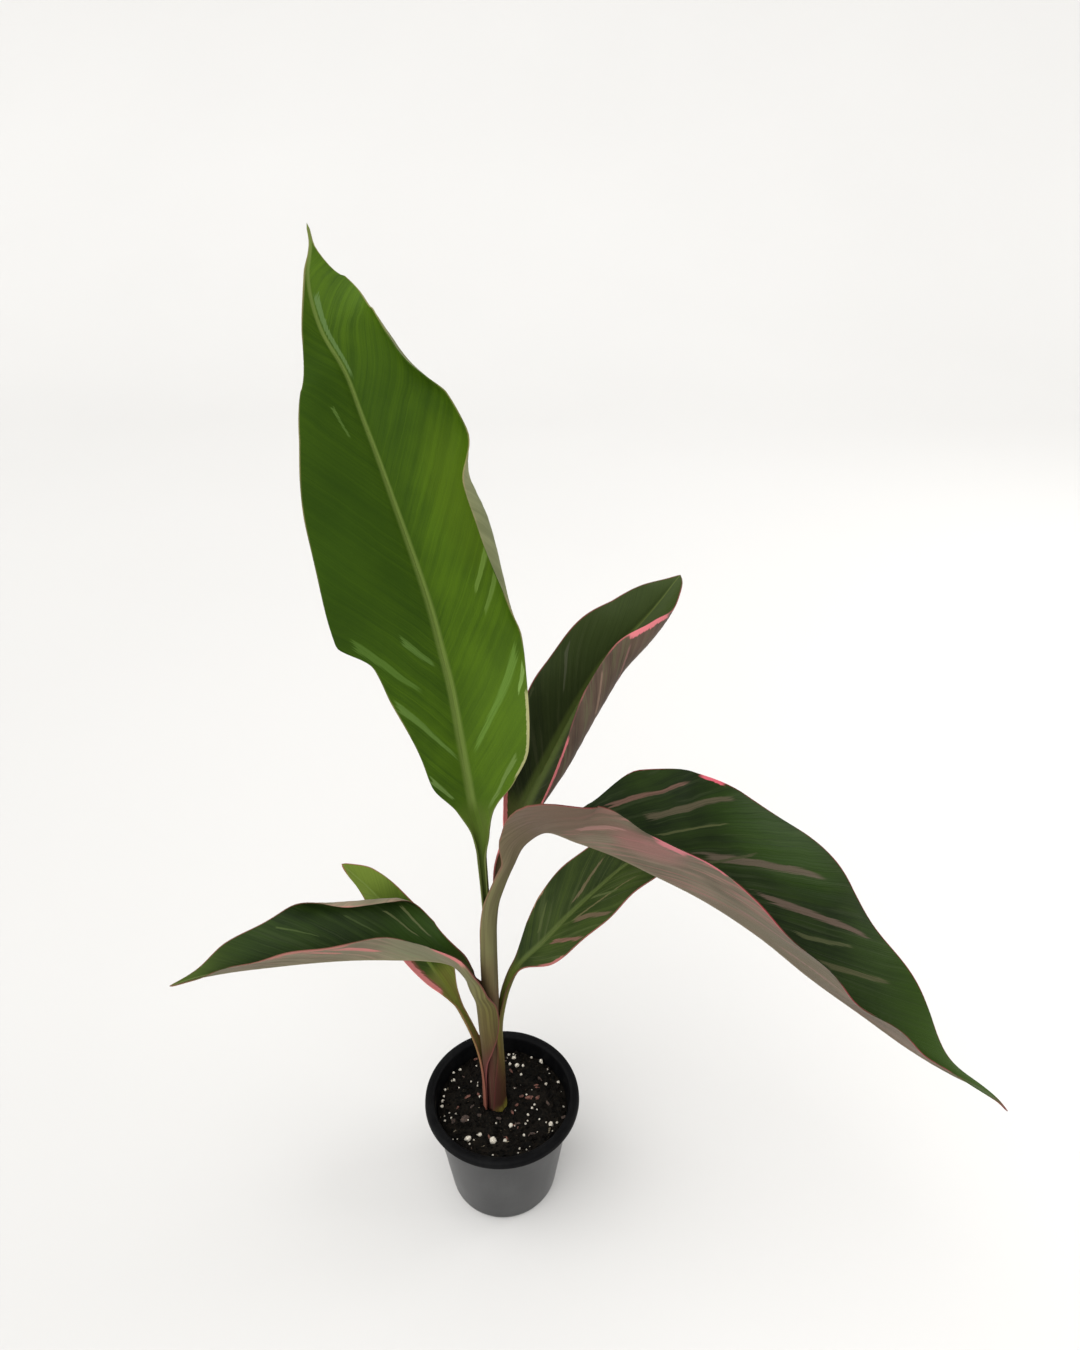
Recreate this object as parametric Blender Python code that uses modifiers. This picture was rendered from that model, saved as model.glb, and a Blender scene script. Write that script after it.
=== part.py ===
# A young banana plant with six leaves, standing in a round nursery pot of soil.
# Units are metres and +Z is up. The origin is the middle of the pot's underside.
# Each leaf is one grown piece: its sheath wraps the stem, narrows to a channelled
# stalk and opens into the blade. The stem is nothing but those nested sheaths.

import math

import bmesh
import bpy
import numpy as np

MM = 0.001

# Nursery pot, measured over its outside
RIM_RADIUS = 52.5 * MM
POT_HEIGHT = 84.5 * MM
LIP_HEIGHT = 4.6 * MM
BODY_TOP_RADIUS = 46.8 * MM
BODY_BASE_RADIUS = 36.8 * MM
POT_WALL = 1.0 * MM
POT_FLOOR = 1.4 * MM
BASE_CORNER = 2.0 * MM
POT_SIDES = 40
DRAIN_COUNT = 6
DRAIN_RADIUS = 3.5 * MM
DRAIN_RING = 25.0 * MM

# Soil, filling the pot up to a little under its rim
SOIL_LEVEL = 72.0 * MM
SOIL_RINGS = 12
SOIL_SECTORS = 40
LUMP_HEIGHT = 0.8 * MM
GRAIN_HEIGHT = 1.6 * MM
GRAIN_EVERY = 9
GRAIN_SEED = 11

# Every piece keeps this much clear of the next
GAP = 0.3 * MM

# Stem: the line that all the sheaths are wrapped round, and the corm they grow from
STEM_X = -4.0 * MM
STEM_Y = 0.0
STEM_HOLE_RADIUS = 10.2 * MM
CORM_RADIUS = 9.7 * MM
CORM_BASE = 34.0 * MM
CORM_TOP = 61.0 * MM
SHEATH_FOOT = 61.4

# Leaf solids: steps across half a leaf, and its thickness, in millimetres
HALF_STEPS = 6
BLADE_THICK = 0.65
MIDRIB_THICK = 1.9
THICKEST = 2.2


def wrapped(height, azimuth, inside, left, right, thick):
    """A place along a leaf where it is rolled round the stem, reaching so many degrees to either side."""
    turn = math.radians(azimuth)
    outward = (math.cos(turn), math.sin(turn))
    point = (
        STEM_X / MM + inside * outward[0],
        STEM_Y / MM + inside * outward[1],
        height,
    )
    widths = (inside * math.radians(left), inside * math.radians(right))
    face = (-outward[0], -outward[1], 0.0)
    return place(point, face, widths, curl=(left, right), thick=(thick, thick))


def place(point, face, widths, fold=(0, 0), curl=(0, 0), lip=(0, 0), thick=None):
    """A place along a leaf, in millimetres and degrees.

    point is on the midrib and face is the way its upper side looks. The pairs are for the left
    and the right half: how wide it is, how far it folds up at the midrib, how much more it turns
    on its way to the margin, and how much its outermost strip rolls over. thick is that of the
    midrib and of the sheet.
    """
    return {
        "point": point,
        "face": face,
        "widths": widths,
        "fold": fold,
        "curl": curl,
        "lip": lip,
        "thick": thick or (MIDRIB_THICK, BLADE_THICK),
    }


# The upright newest leaf, seen face on from the front, its right margin rolled forward.
UPRIGHT_FACE = (0.1, -1.0, 0.2)
UPRIGHT = [
    wrapped(SHEATH_FOOT, 90, 1.6, 150, 150, 1.1),
    wrapped(215, 90, 1.6, 150, 150, 1.1),
    wrapped(232, 90, 1.6, 150, 150, 1.1),
    place((-5.1, 1.8, 266), (0, -1, 0.1), (4, 4), curl=(140, 140), thick=(1.2, 1.1)),
    place((-6, 2.3, 290), (0, -1, 0.1), (4, 4), curl=(130, 130), thick=(1.6, 1.3)),
    place((-6.5, 3, 308), UPRIGHT_FACE, (5, 6.5), fold=(5, 5), curl=(60, 70), thick=(2.2, 1.0)),
    place((-11, 6, 324), UPRIGHT_FACE, (12, 12), fold=(15, 15), curl=(10, 20), thick=(2.2, 0.7)),
    place((-17, 9, 364), UPRIGHT_FACE, (25, 39), fold=(20, 20), curl=(5, 10)),
    place((-22, 14, 400), UPRIGHT_FACE, (34, 44), fold=(20, 20)),
    place((-30, 19, 439), UPRIGHT_FACE, (44, 44), fold=(20, 20)),
    place((-41, 24, 479), UPRIGHT_FACE, (50, 46), fold=(20, 20), lip=(0, 60)),
    place((-53, 29, 519), UPRIGHT_FACE, (40, 49), fold=(20, 20), lip=(0, 100)),
    place((-65, 34, 556), UPRIGHT_FACE, (22, 32), fold=(20, 20), curl=(0, 10), lip=(0, 60)),
    place((-75, 37, 575), UPRIGHT_FACE, (10, 24), fold=(15, 20), curl=(0, 10)),
    place((-79, 41, 597), UPRIGHT_FACE, (2, 15), fold=(10, 10), thick=(1.0, 0.7)),
    place((-77, 45, 611), UPRIGHT_FACE, (0.8, 1.0), thick=(0.8, 0.7)),
    place((-78, 46, 618), UPRIGHT_FACE, (0.5, 0.5), thick=(0.7, 0.7)),
]

# The leaf at the back, leaning away to the right, its near half rolled up and over.
BACK_FACE = (-0.35, -0.6, 0.7)
BACK = [
    wrapped(SHEATH_FOOT, 45, 3.0, 150, 150, 0.9),
    wrapped(215, 45, 3.0, 150, 150, 0.9),
    wrapped(232, 45, 3.0, 105, 140, 0.9),
    place((-2.1, 2.2, 250), (-0.7, -0.7, 0), (4.0, 5.8), curl=(76, 110), thick=(0.9, 0.9)),
    place((-1.7, 3.2, 266), (-0.65, -0.75, 0.1), (2.9, 5), curl=(52, 90), thick=(1.1, 1.0)),
    place((1.6, 6.2, 282), (-0.6, -0.8, 0.3), (4.6, 4.6), curl=(95, 95), thick=(1.4, 1.1)),
    place((7, 9.5, 297), (-0.5, -0.7, 0.4), (5, 5), curl=(90, 90), thick=(1.8, 1.2)),
    place((12, 13.5, 307), BACK_FACE, (9, 9), fold=(10, 0), curl=(60, 60), thick=(2.0, 0.9)),
    place((17, 19, 315), BACK_FACE, (14, 16), fold=(30, 0), curl=(20, 60)),
    place((31, 38, 335), BACK_FACE, (26, 34), fold=(45, -5), curl=(0, 110)),
    place((50, 66, 359), BACK_FACE, (31, 46), fold=(50, -10), curl=(0, 150)),
    place((65, 84, 375), BACK_FACE, (30, 47), fold=(50, -10), curl=(0, 150)),
    place((84, 100, 388), BACK_FACE, (24, 41), fold=(50, -10), curl=(0, 150)),
    place((100, 114, 400), BACK_FACE, (13, 23), fold=(40, -5), curl=(0, 130)),
    place((110, 122, 410), BACK_FACE, (4, 7), fold=(10, 0), curl=(0, 60), thick=(1.0, 0.7)),
    place((113, 124, 413), BACK_FACE, (0.5, 0.5), thick=(0.7, 0.7)),
]

# The large leaf that arches over to the right and hangs down, folded along its midrib.
ARCHING = [
    wrapped(SHEATH_FOOT, -30, 4.3, 150, 150, 1.3),
    wrapped(200, -30, 4.3, 150, 150, 1.3),
    wrapped(222, -30, 4.3, 130, 130, 1.3),
    place((0.9, -3.0, 243), (-0.87, 0.5, 0), (8.1, 8.1), curl=(105, 105), thick=(1.4, 1.3)),
    place((2.5, -4.2, 260), (-0.87, 0.5, 0.1), (6.9, 6.9), curl=(90, 90), thick=(1.6, 1.4)),
    place((5.4, -6.2, 275), (-0.85, 0.45, 0.2), (6.6, 6.6), curl=(82, 82), thick=(1.8, 1.5)),
    place((9.5, -7.5, 293), (-0.8, 0.3, 0.4), (7.5, 7.5), curl=(85, 85), thick=(2.0, 1.5)),
    place((17, -9, 312), (-0.6, 0.1, 0.8), (8, 12), fold=(5, 20), curl=(85, 75), thick=(2.2, 1.3)),
    place((28, -10, 321), (-0.2, -0.1, 1), (12, 28), fold=(20, 62), curl=(40, 20), thick=(2.2, 0.9)),
    place((46, -13, 317), (0.2, 0, 1), (30, 42), fold=(45, 64), curl=(-10, 0)),
    place((66, -15, 308), (0.3, 0, 1), (47, 49), fold=(50, 58), curl=(-20, -5)),
    place((90, -18, 296), (0.4, 0, 1), (60, 52), fold=(50, 57), curl=(-20, -5)),
    place((116, -20, 281), (0.5, 0, 1), (65, 52), fold=(55, 49), curl=(-20, -5)),
    place((150, -23, 256), (0.6, 0, 1), (62, 46), fold=(55, 41), curl=(-20, -4)),
    place((186, -26, 223), (0.7, 0, 1), (55, 38), fold=(55, 37), curl=(-20, -4)),
    place((220, -29, 195), (0.7, 0, 1), (43, 29), fold=(50, 36), curl=(-10, 0)),
    place((252, -31, 168), (0.7, 0, 1), (25, 18), fold=(45, 36)),
    place((281, -34, 148), (0.6, 0, 1), (8, 6), fold=(30, 30), thick=(1.2, 0.7)),
    place((300, -36, 137), (0.6, 0, 1), (3, 3), fold=(10, 10), thick=(0.9, 0.7)),
    place((312, -37, 127), (0.6, 0, 1), (1.2, 1.2), thick=(0.8, 0.7)),
    place((320, -38, 118), (0.6, 0, 1), (0.5, 0.5), thick=(0.7, 0.7)),
]

# The lower leaf on the right, reaching up and back, behind the arching one.
LOW_FACE = (-0.4, -0.3, 0.9)
LOW_RIGHT = [
    wrapped(SHEATH_FOOT, 10, 6.0, 150, 150, 0.9),
    wrapped(118, 10, 6.0, 130, 130, 0.9),
    wrapped(135, 10, 6.0, 82, 105, 0.9),
    place((2.4, 0.9, 150), (-1, -0.15, 0.1), (4.5, 8), curl=(42, 76), thick=(1.1, 1.0)),
    place((5.2, 2.2, 166), (-1, -0.15, 0.2), (5.2, 5.2), curl=(75, 75), thick=(1.5, 1.1)),
    place((8.5, 4.5, 182), (-0.8, -0.2, 0.5), (4.5, 4.5), curl=(90, 90), thick=(1.8, 1.2)),
    place((13, 8, 195), (-0.5, -0.2, 0.8), (7, 6), fold=(15, 15), curl=(40, 40), thick=(2.0, 1.0)),
    place((28, 14, 212), LOW_FACE, (17, 20), fold=(35, 12), curl=(0, 10)),
    place((42, 20, 226), LOW_FACE, (23, 25), fold=(40, 15)),
    place((60, 28, 241), LOW_FACE, (25, 28), fold=(42, 15)),
    place((80, 35, 257), LOW_FACE, (24, 27), fold=(38, 12)),
    place((104, 41, 268), (-0.1, -0.3, 1), (16, 17), fold=(25, 15)),
    place((122, 45, 273), (0, -0.3, 1), (5, 5), thick=(1.0, 0.7)),
    place((129, 47, 274), (0, -0.3, 1), (0.5, 0.5), thick=(0.7, 0.7)),
]

# The leaf that lies out to the left, its near half folded up and its far margin rolled over.
LEFT = [
    wrapped(SHEATH_FOOT, 190, 7.3, 80, 140, 0.9),
    wrapped(120, 190, 7.3, 90, 140, 0.9),
    wrapped(148, 190, 7.3, 110, 118, 0.9),
    wrapped(163, 190, 7.3, 125, 105, 0.9),
    place((-12.6, -2.2, 177), (0.97, 0.17, 0.1), (14, 13), curl=(100, 95), thick=(1.3, 1.1)),
    place((-15.6, -4.3, 190), (0.8, 0.1, 0.4), (9.5, 9), curl=(62, 62), thick=(1.9, 1.3)),
    place((-19, -6, 204), (0.6, 0, 0.8), (8.5, 8), fold=(10, 10), curl=(70, 70), thick=(2.2, 1.3)),
    place((-26, -5, 213), (0.1, 0, 1), (12, 12), fold=(40, 30), curl=(40, 50), thick=(2.2, 0.9)),
    place((-42, -4, 215), (0, 0, 1), (24, 26), fold=(66, 50)),
    place((-62, -3, 215), (0, 0, 1), (31, 38), fold=(71, 50), lip=(0, 60)),
    place((-86, -3, 215), (-0.1, 0, 1), (31, 36), fold=(64, 50), lip=(0, 80)),
    place((-110, -3, 213), (-0.1, 0, 1), (29, 33), fold=(60, 50), lip=(0, 40)),
    place((-138, -3, 209), (-0.1, 0, 1), (22, 26), fold=(56, 50)),
    place((-166, -3, 204), (-0.2, 0, 1), (12, 14), fold=(50, 50), thick=(1.4, 0.7)),
    place((-188, -3, 198), (-0.2, 0, 1), (4, 5), fold=(30, 30), thick=(1.0, 0.7)),
    place((-205, -3, 191), (-0.2, 0, 1), (0.5, 0.5), thick=(0.7, 0.7)),
]

# The oldest and smallest leaf, low on the left, behind the one above.
SMALL_FACE = (0.5, -0.5, 0.8)
SMALL = [
    wrapped(SHEATH_FOOT, 160, 8.6, 60, 60, 0.8),
    wrapped(88, 160, 8.6, 60, 60, 0.8),
    wrapped(104, 160, 8.6, 55, 55, 0.8),
    place((-17.5, 5.5, 136), (1, -0.2, 0.2), (5.5, 5.5), curl=(60, 60), thick=(1.4, 1.0)),
    place((-24, 9, 155), (0.9, -0.3, 0.4), (4, 4), curl=(90, 90), thick=(1.8, 1.2)),
    place((-29, 13, 164), (0.7, -0.3, 0.6), (6, 6), fold=(10, 10), curl=(60, 60), thick=(2.0, 1.0)),
    place((-40, 20, 179), SMALL_FACE, (12, 14), fold=(20, 20), curl=(10, 10)),
    place((-55, 27, 198), SMALL_FACE, (17, 19), fold=(25, 25)),
    place((-73, 35, 222), SMALL_FACE, (17, 15), fold=(25, 20)),
    place((-87, 40, 237), SMALL_FACE, (10, 9), fold=(20, 15)),
    place((-97, 43, 246), SMALL_FACE, (3, 2.5), fold=(20, 10), thick=(1.0, 0.7)),
    place((-100, 44, 249), SMALL_FACE, (0.5, 0.5), thick=(0.7, 0.7)),
]

# Each leaf: its places, the rows between two of them, the index of the place where the blade
# opens, and its margins' waves as (side, height in mm, waves along the blade, start of the wave)
LEAVES = {
    "leaf_upright": (UPRIGHT, 2, 6, [(-1, 2.0, 4.5, 0.2), (1, 2.5, 3.5, 0.6)]),
    "leaf_back": (BACK, 2, 8, [(-1, 1.5, 3.5, 0.1)]),
    "leaf_arching": (ARCHING, 2, 8, [(-1, 2.5, 4.0, 0.3), (1, 1.5, 5.0, 0.0)]),
    "leaf_low_right": (LOW_RIGHT, 2, 6, [(-1, 1.2, 3.0, 0.0), (1, 1.5, 3.0, 0.4)]),
    "leaf_left": (LEFT, 2, 7, [(-1, 1.0, 4.0, 0.2), (1, 1.2, 3.5, 0.5)]),
    "leaf_small": (SMALL, 2, 6, [(-1, 0.8, 2.5, 0.1), (1, 0.8, 2.5, 0.6)]),
}

LEAF_GREENS = {
    "leaf_upright": (0.085, 0.19, 0.03),
    "leaf_back": (0.03, 0.075, 0.03),
    "leaf_arching": (0.04, 0.09, 0.03),
    "leaf_low_right": (0.05, 0.12, 0.03),
    "leaf_left": (0.04, 0.10, 0.03),
    "leaf_small": (0.10, 0.20, 0.03),
}


def clear_scene():
    for thing in list(bpy.data.objects):
        bpy.data.objects.remove(thing, do_unlink=True)


def new_collection(name):
    collection = bpy.data.collections.new(name)
    bpy.context.scene.collection.children.link(collection)
    return collection


def material(name, colour, roughness, metallic=0.0):
    made = bpy.data.materials.new(name)
    made.use_nodes = True
    shader = made.node_tree.nodes["Principled BSDF"]
    shader.inputs["Base Color"].default_value = (*colour, 1.0)
    shader.inputs["Roughness"].default_value = roughness
    shader.inputs["Metallic"].default_value = metallic
    return made


def new_object(name, bm, collection):
    mesh = bpy.data.meshes.new(name)
    bm.to_mesh(mesh)
    bm.free()
    thing = bpy.data.objects.new(name, mesh)
    collection.objects.link(thing)
    return thing


def turned(name, profile, sides, collection):
    """A closed profile of (radius, height) points, with both ends on the axis, turned round Z."""
    bm = bmesh.new()
    points = [bm.verts.new((radius, 0.0, height)) for radius, height in profile]
    for first, second in zip(points, points[1:]):
        bm.edges.new((first, second))
    thing = new_object(name, bm, collection)
    screw = thing.modifiers.new("turn", "SCREW")
    screw.axis = "Z"
    screw.steps = sides
    screw.render_steps = sides
    screw.use_merge_vertices = True
    screw.merge_threshold = 0.00005
    return thing


def applied(thing):
    """The same object, with its modifiers made part of its mesh."""
    graph = bpy.context.evaluated_depsgraph_get()
    mesh = bpy.data.meshes.new_from_object(thing.evaluated_get(graph))
    thing.modifiers.clear()
    thing.data = mesh
    return thing


def cylinder(name, radius, low, high, x, y, sides, collection):
    bm = bmesh.new()
    bmesh.ops.create_cone(
        bm, cap_ends=True, segments=sides, radius1=radius, radius2=radius, depth=high - low
    )
    bmesh.ops.translate(bm, verts=bm.verts, vec=(x, y, (low + high) / 2))
    thing = new_object(name, bm, collection)
    thing.hide_render = True
    thing.display_type = "WIRE"
    return thing


def cut(thing, cutter):
    boolean = thing.modifiers.new(cutter.name, "BOOLEAN")
    boolean.operation = "DIFFERENCE"
    boolean.solver = "EXACT"
    boolean.object = cutter


def inside_radius(height):
    """The radius of the pot's inner wall at this height."""
    low = POT_FLOOR + BASE_CORNER
    high = POT_HEIGHT - 1.6 * MM
    share = (height - low) / (high - low)
    return BODY_BASE_RADIUS - POT_WALL + share * (BODY_TOP_RADIUS - BODY_BASE_RADIUS)


def pot_profile():
    """Inside floor, up the inner wall, over the turned-down lip and down the outside."""
    inside_top = BODY_TOP_RADIUS - POT_WALL
    inside_base = BODY_BASE_RADIUS - POT_WALL
    lip_under = POT_HEIGHT - LIP_HEIGHT
    skirt = RIM_RADIUS - POT_WALL
    return [
        (0.0, POT_FLOOR),
        (inside_base - BASE_CORNER, POT_FLOOR),
        (inside_base, POT_FLOOR + BASE_CORNER),
        (inside_top, POT_HEIGHT - 1.6 * MM),
        (inside_top + 1.0 * MM, POT_HEIGHT - 0.4 * MM),
        (inside_top + 2.4 * MM, POT_HEIGHT),
        (RIM_RADIUS - 1.6 * MM, POT_HEIGHT - 0.2 * MM),
        (RIM_RADIUS - 0.3 * MM, POT_HEIGHT - 1.2 * MM),
        (RIM_RADIUS, lip_under),
        (skirt, lip_under),
        (skirt - 0.3 * MM, POT_HEIGHT - 1.7 * MM),
        (BODY_TOP_RADIUS + 1.0 * MM, POT_HEIGHT - 1.5 * MM),
        (BODY_TOP_RADIUS, POT_HEIGHT - 3.0 * MM),
        (BODY_BASE_RADIUS, BASE_CORNER),
        (BODY_BASE_RADIUS - 0.6 * BASE_CORNER, 0.4 * BASE_CORNER),
        (BODY_BASE_RADIUS - BASE_CORNER, 0.0),
        (0.0, 0.0),
    ]


def make_pot(parts, cutters):
    pot = turned("pot", pot_profile(), POT_SIDES, parts)
    for index in range(DRAIN_COUNT):
        turn = 2 * math.pi * index / DRAIN_COUNT
        hole = cylinder(
            f"drain_{index + 1}",
            DRAIN_RADIUS,
            -2 * POT_FLOOR,
            3 * POT_FLOOR,
            DRAIN_RING * math.cos(turn),
            DRAIN_RING * math.sin(turn),
            12,
            cutters,
        )
        cut(pot, hole)
    pot.data.materials.append(material("black_pot_plastic", (0.022, 0.024, 0.026), 0.38))
    return pot


def soil_profile():
    """Over the top in even rings, then down the side and across the underside to the axis."""
    shoulder = SOIL_LEVEL - 3.0 * MM
    edge = inside_radius(shoulder) - GAP
    base = inside_radius(POT_FLOOR + BASE_CORNER) - GAP
    floor = POT_FLOOR + GAP
    top = [(edge * ring / SOIL_RINGS, SOIL_LEVEL) for ring in range(SOIL_RINGS + 1)]
    side = [(edge, shoulder), (base, floor + BASE_CORNER), (base - BASE_CORNER, floor)]
    return top + side + [(0.0, floor)]


def make_soil(parts, cutters):
    soil = applied(turned("soil", soil_profile(), SOIL_SECTORS, parts))
    draw = np.random.default_rng(GRAIN_SEED)
    for index, vertex in enumerate(soil.data.vertices):
        point = vertex.co
        if point.z < SOIL_LEVEL - 1e-5:
            continue
        across = point.x / MM
        along = point.y / MM
        lump = math.sin(0.31 * across + 0.9) * math.cos(0.27 * along) + 0.5 * math.sin(0.55 * along)
        height = LUMP_HEIGHT * lump / 1.5
        if draw.integers(GRAIN_EVERY) == 0:
            height += GRAIN_HEIGHT * draw.uniform(0.5, 1.0)
        point.z += height
    hole = cylinder(
        "stem_hole",
        STEM_HOLE_RADIUS,
        CORM_BASE - GAP,
        SOIL_LEVEL + 8 * MM,
        STEM_X,
        STEM_Y,
        28,
        cutters,
    )
    cut(soil, hole)
    soil.data.materials.append(material("potting_soil", (0.018, 0.012, 0.008), 0.95))
    return soil


def make_corm(parts):
    """The short true stem under the soil, which carries the sheaths."""
    height = CORM_TOP - CORM_BASE
    profile = [(0.0, CORM_TOP)]
    for share, level in ((0.86, 1.0), (0.97, 0.9), (1.0, 0.6), (0.96, 0.35), (0.78, 0.12), (0.5, 0.0)):
        profile.append((CORM_RADIUS * share, CORM_BASE + height * level))
    profile.append((0.0, CORM_BASE))
    corm = turned("corm", profile, 20, parts)
    corm.location = (STEM_X, STEM_Y, 0.0)
    corm.data.materials.append(material("corm_flesh", (0.35, 0.26, 0.14), 0.7))
    return corm


def unit(vectors):
    return vectors / np.linalg.norm(vectors, axis=-1, keepdims=True)


def eased(marks, values, at, steady=False):
    """Values read between the marks along a smooth curve, which never overshoots if steady is set."""
    values = np.asarray(values, float)
    flat = values.reshape(len(marks), -1)
    spans = np.diff(marks)
    rises = np.diff(flat, axis=0) / spans[:, None]
    slopes = np.vstack([rises[:1], np.zeros((len(marks) - 2, flat.shape[1])), rises[-1:]])
    for index in range(1, len(marks) - 1):
        before, after = rises[index - 1], rises[index]
        near, far = spans[index - 1], spans[index]
        if steady:
            same = before * after > 0
            low = np.where(same, before, 1.0)
            high = np.where(same, after, 1.0)
            mean = 3 * (near + far) / ((2 * far + near) / low + (far + 2 * near) / high)
            slopes[index] = np.where(same, mean, 0.0)
        else:
            slopes[index] = (far * before + near * after) / (near + far)
    index = np.clip(np.searchsorted(marks, at, side="right") - 1, 0, len(marks) - 2)
    span = spans[index][:, None]
    part = ((at - marks[index]) / spans[index])[:, None]
    result = (
        (2 * part**3 - 3 * part**2 + 1) * flat[index]
        + (part**3 - 2 * part**2 + part) * span * slopes[index]
        + (3 * part**2 - 2 * part**3) * flat[index + 1]
        + (part**3 - part**2) * span * slopes[index + 1]
    )
    return result.reshape((len(at),) + values.shape[1:])


def leaf_surface(places, rows, blade, waves, half):
    """Points of a leaf's upper side, row by row and from its left margin to its right, and the
    thickness there, all in millimetres."""
    points = np.array([step["point"] for step in places], float)
    lengths = np.linalg.norm(np.diff(points, axis=0), axis=1)
    marks = np.concatenate([[0.0], np.cumsum(lengths)])
    at = [np.linspace(low, high, rows, endpoint=False) for low, high in zip(marks, marks[1:])]
    at = np.concatenate(at + [marks[-1:]])
    nudge = marks[-1] * 1e-4
    ahead = eased(marks, points, np.minimum(at + nudge, marks[-1]))
    behind = eased(marks, points, np.maximum(at - nudge, 0.0))
    along = unit(ahead - behind)
    faces = unit(np.array([step["face"] for step in places], float))
    up = eased(marks, faces, at)
    up = unit(up - (up * along).sum(axis=1, keepdims=True) * along)
    to_right = np.cross(along, up)
    surface = np.zeros((len(at), 2 * half + 1, 3))
    surface[:, half] = eased(marks, points, at)
    for side in (-1, 1):
        pick = 0 if side < 0 else 1
        width, fold, curl, lip = (
            eased(marks, [step[key][pick] for step in places], at, steady=True)
            for key in ("widths", "fold", "curl", "lip")
        )
        shrink = np.maximum(np.radians(np.abs(curl)) / half / 2, 1e-9)
        chord = width / half * np.sin(shrink) / shrink
        for step in range(half):
            share = (step + 0.5) / half
            turn = np.radians(fold + curl * share + lip * share**5)
            direction = np.cos(turn)[:, None] * side * to_right + np.sin(turn)[:, None] * up
            inner = surface[:, half + side * step]
            surface[:, half + side * (step + 1)] = inner + chord[:, None] * direction
    share = np.clip((at - marks[blade]) / (marks[-1] - marks[blade]), 0.0, 1.0)
    swell = np.sin(math.pi * share) ** 0.7
    for side, height, count, start in waves:
        rise = height * swell * np.sin(2 * math.pi * (count * share + start))
        for step in range(1, half + 1):
            surface[:, half + side * step] += (rise * (step / half) ** 2)[:, None] * up
    ribs, sheets = eased(marks, [step["thick"] for step in places], at, steady=True).T
    across = np.abs(np.arange(-half, half + 1)) / half
    ridge = np.clip(1 - across * 3.0, 0.0, 1.0)[None, :]
    thick = sheets[:, None] + (ribs - sheets)[:, None] * ridge
    return surface, thick


def make_leaf(name, parts):
    places, rows, blade, waves = LEAVES[name]
    surface, thick = leaf_surface(places, rows, blade, waves, HALF_STEPS)
    last_row = len(surface) - 1
    last_column = 2 * HALF_STEPS
    bm = bmesh.new()
    bmesh.ops.create_grid(bm, x_segments=last_row, y_segments=last_column, size=1.0)
    weights = bm.verts.layers.deform.verify()
    tip = []
    for vertex in bm.verts:
        row = round((vertex.co.x + 1) / 2 * last_row)
        column = round((1 - vertex.co.y) / 2 * last_column)
        vertex[weights][0] = float(thick[row, column]) / THICKEST
        if row == last_row:
            column = HALF_STEPS
            tip.append(vertex)
        vertex.co = surface[row, column] * MM
    bmesh.ops.remove_doubles(bm, verts=tip, dist=0.01 * MM)
    bmesh.ops.triangulate(bm, faces=bm.faces)
    leaf = new_object(name, bm, parts)
    leaf.vertex_groups.new(name="thickness")
    solid = leaf.modifiers.new("body", "SOLIDIFY")
    solid.thickness = THICKEST * MM
    solid.offset = -1.0
    solid.vertex_group = "thickness"
    solid.use_rim = True
    leaf.data.shade_smooth()
    leaf.data.materials.append(material(name + "_green", LEAF_GREENS[name], 0.45))
    return leaf


def main():
    clear_scene()
    parts = new_collection("potted_banana_plant")
    cutters = new_collection("cutters")
    make_pot(parts, cutters)
    make_soil(parts, cutters)
    make_corm(parts)
    for name in LEAVES:
        make_leaf(name, parts)


main()
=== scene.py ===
# Young banana plant in a black nursery pot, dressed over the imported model.
# Lengths in the leaf lists are millimetres and degrees, colours are 0-255 as seen on a screen.
import bpy
import bmesh
import math
import numpy as np
from mathutils import Matrix, Vector, noise


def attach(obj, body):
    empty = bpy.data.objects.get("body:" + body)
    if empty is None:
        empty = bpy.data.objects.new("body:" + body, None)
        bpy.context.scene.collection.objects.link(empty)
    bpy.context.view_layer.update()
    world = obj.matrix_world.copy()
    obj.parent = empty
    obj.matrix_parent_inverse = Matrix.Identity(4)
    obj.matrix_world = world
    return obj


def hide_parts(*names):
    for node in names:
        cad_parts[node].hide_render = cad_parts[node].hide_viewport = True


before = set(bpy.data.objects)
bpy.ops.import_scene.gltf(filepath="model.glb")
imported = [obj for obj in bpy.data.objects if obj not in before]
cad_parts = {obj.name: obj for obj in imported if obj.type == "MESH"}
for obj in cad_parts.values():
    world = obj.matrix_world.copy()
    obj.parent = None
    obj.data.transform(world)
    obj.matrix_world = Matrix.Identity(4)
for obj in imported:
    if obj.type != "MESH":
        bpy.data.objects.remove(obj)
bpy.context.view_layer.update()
mm = 0.001


def dropSelection():
    bpy.ops.object.select_all(action="DESELECT")


def pickOnly(piece):
    dropSelection()
    piece.select_set(True)
    bpy.context.view_layer.objects.active = piece


def settle(piece, slot, *nodes):  # leaves the piece at the origin, riding on the plant
    pickOnly(piece)
    bpy.ops.object.transform_apply(location=True, rotation=True, scale=True)
    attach(piece, "root")
    if nodes:
        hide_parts(*nodes)


def applyAll(piece):
    pickOnly(piece)
    for modifier in list(piece.modifiers):
        bpy.ops.object.modifier_apply(modifier=modifier.name)


def screenColour(red, green, blue):  # 0-255 as seen, to linear light
    channels = [value / 255 for value in (red, green, blue)]
    linear = [c / 12.92 if c <= 0.04045 else ((c + 0.055) / 1.055) ** 2.4 for c in channels]
    return (*linear, 1.0)


# Shader maths

def plug(socket, item):
    if isinstance(item, Wire):
        socket.id_data.links.new(item.socket, socket)
    else:
        socket.default_value = item


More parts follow.
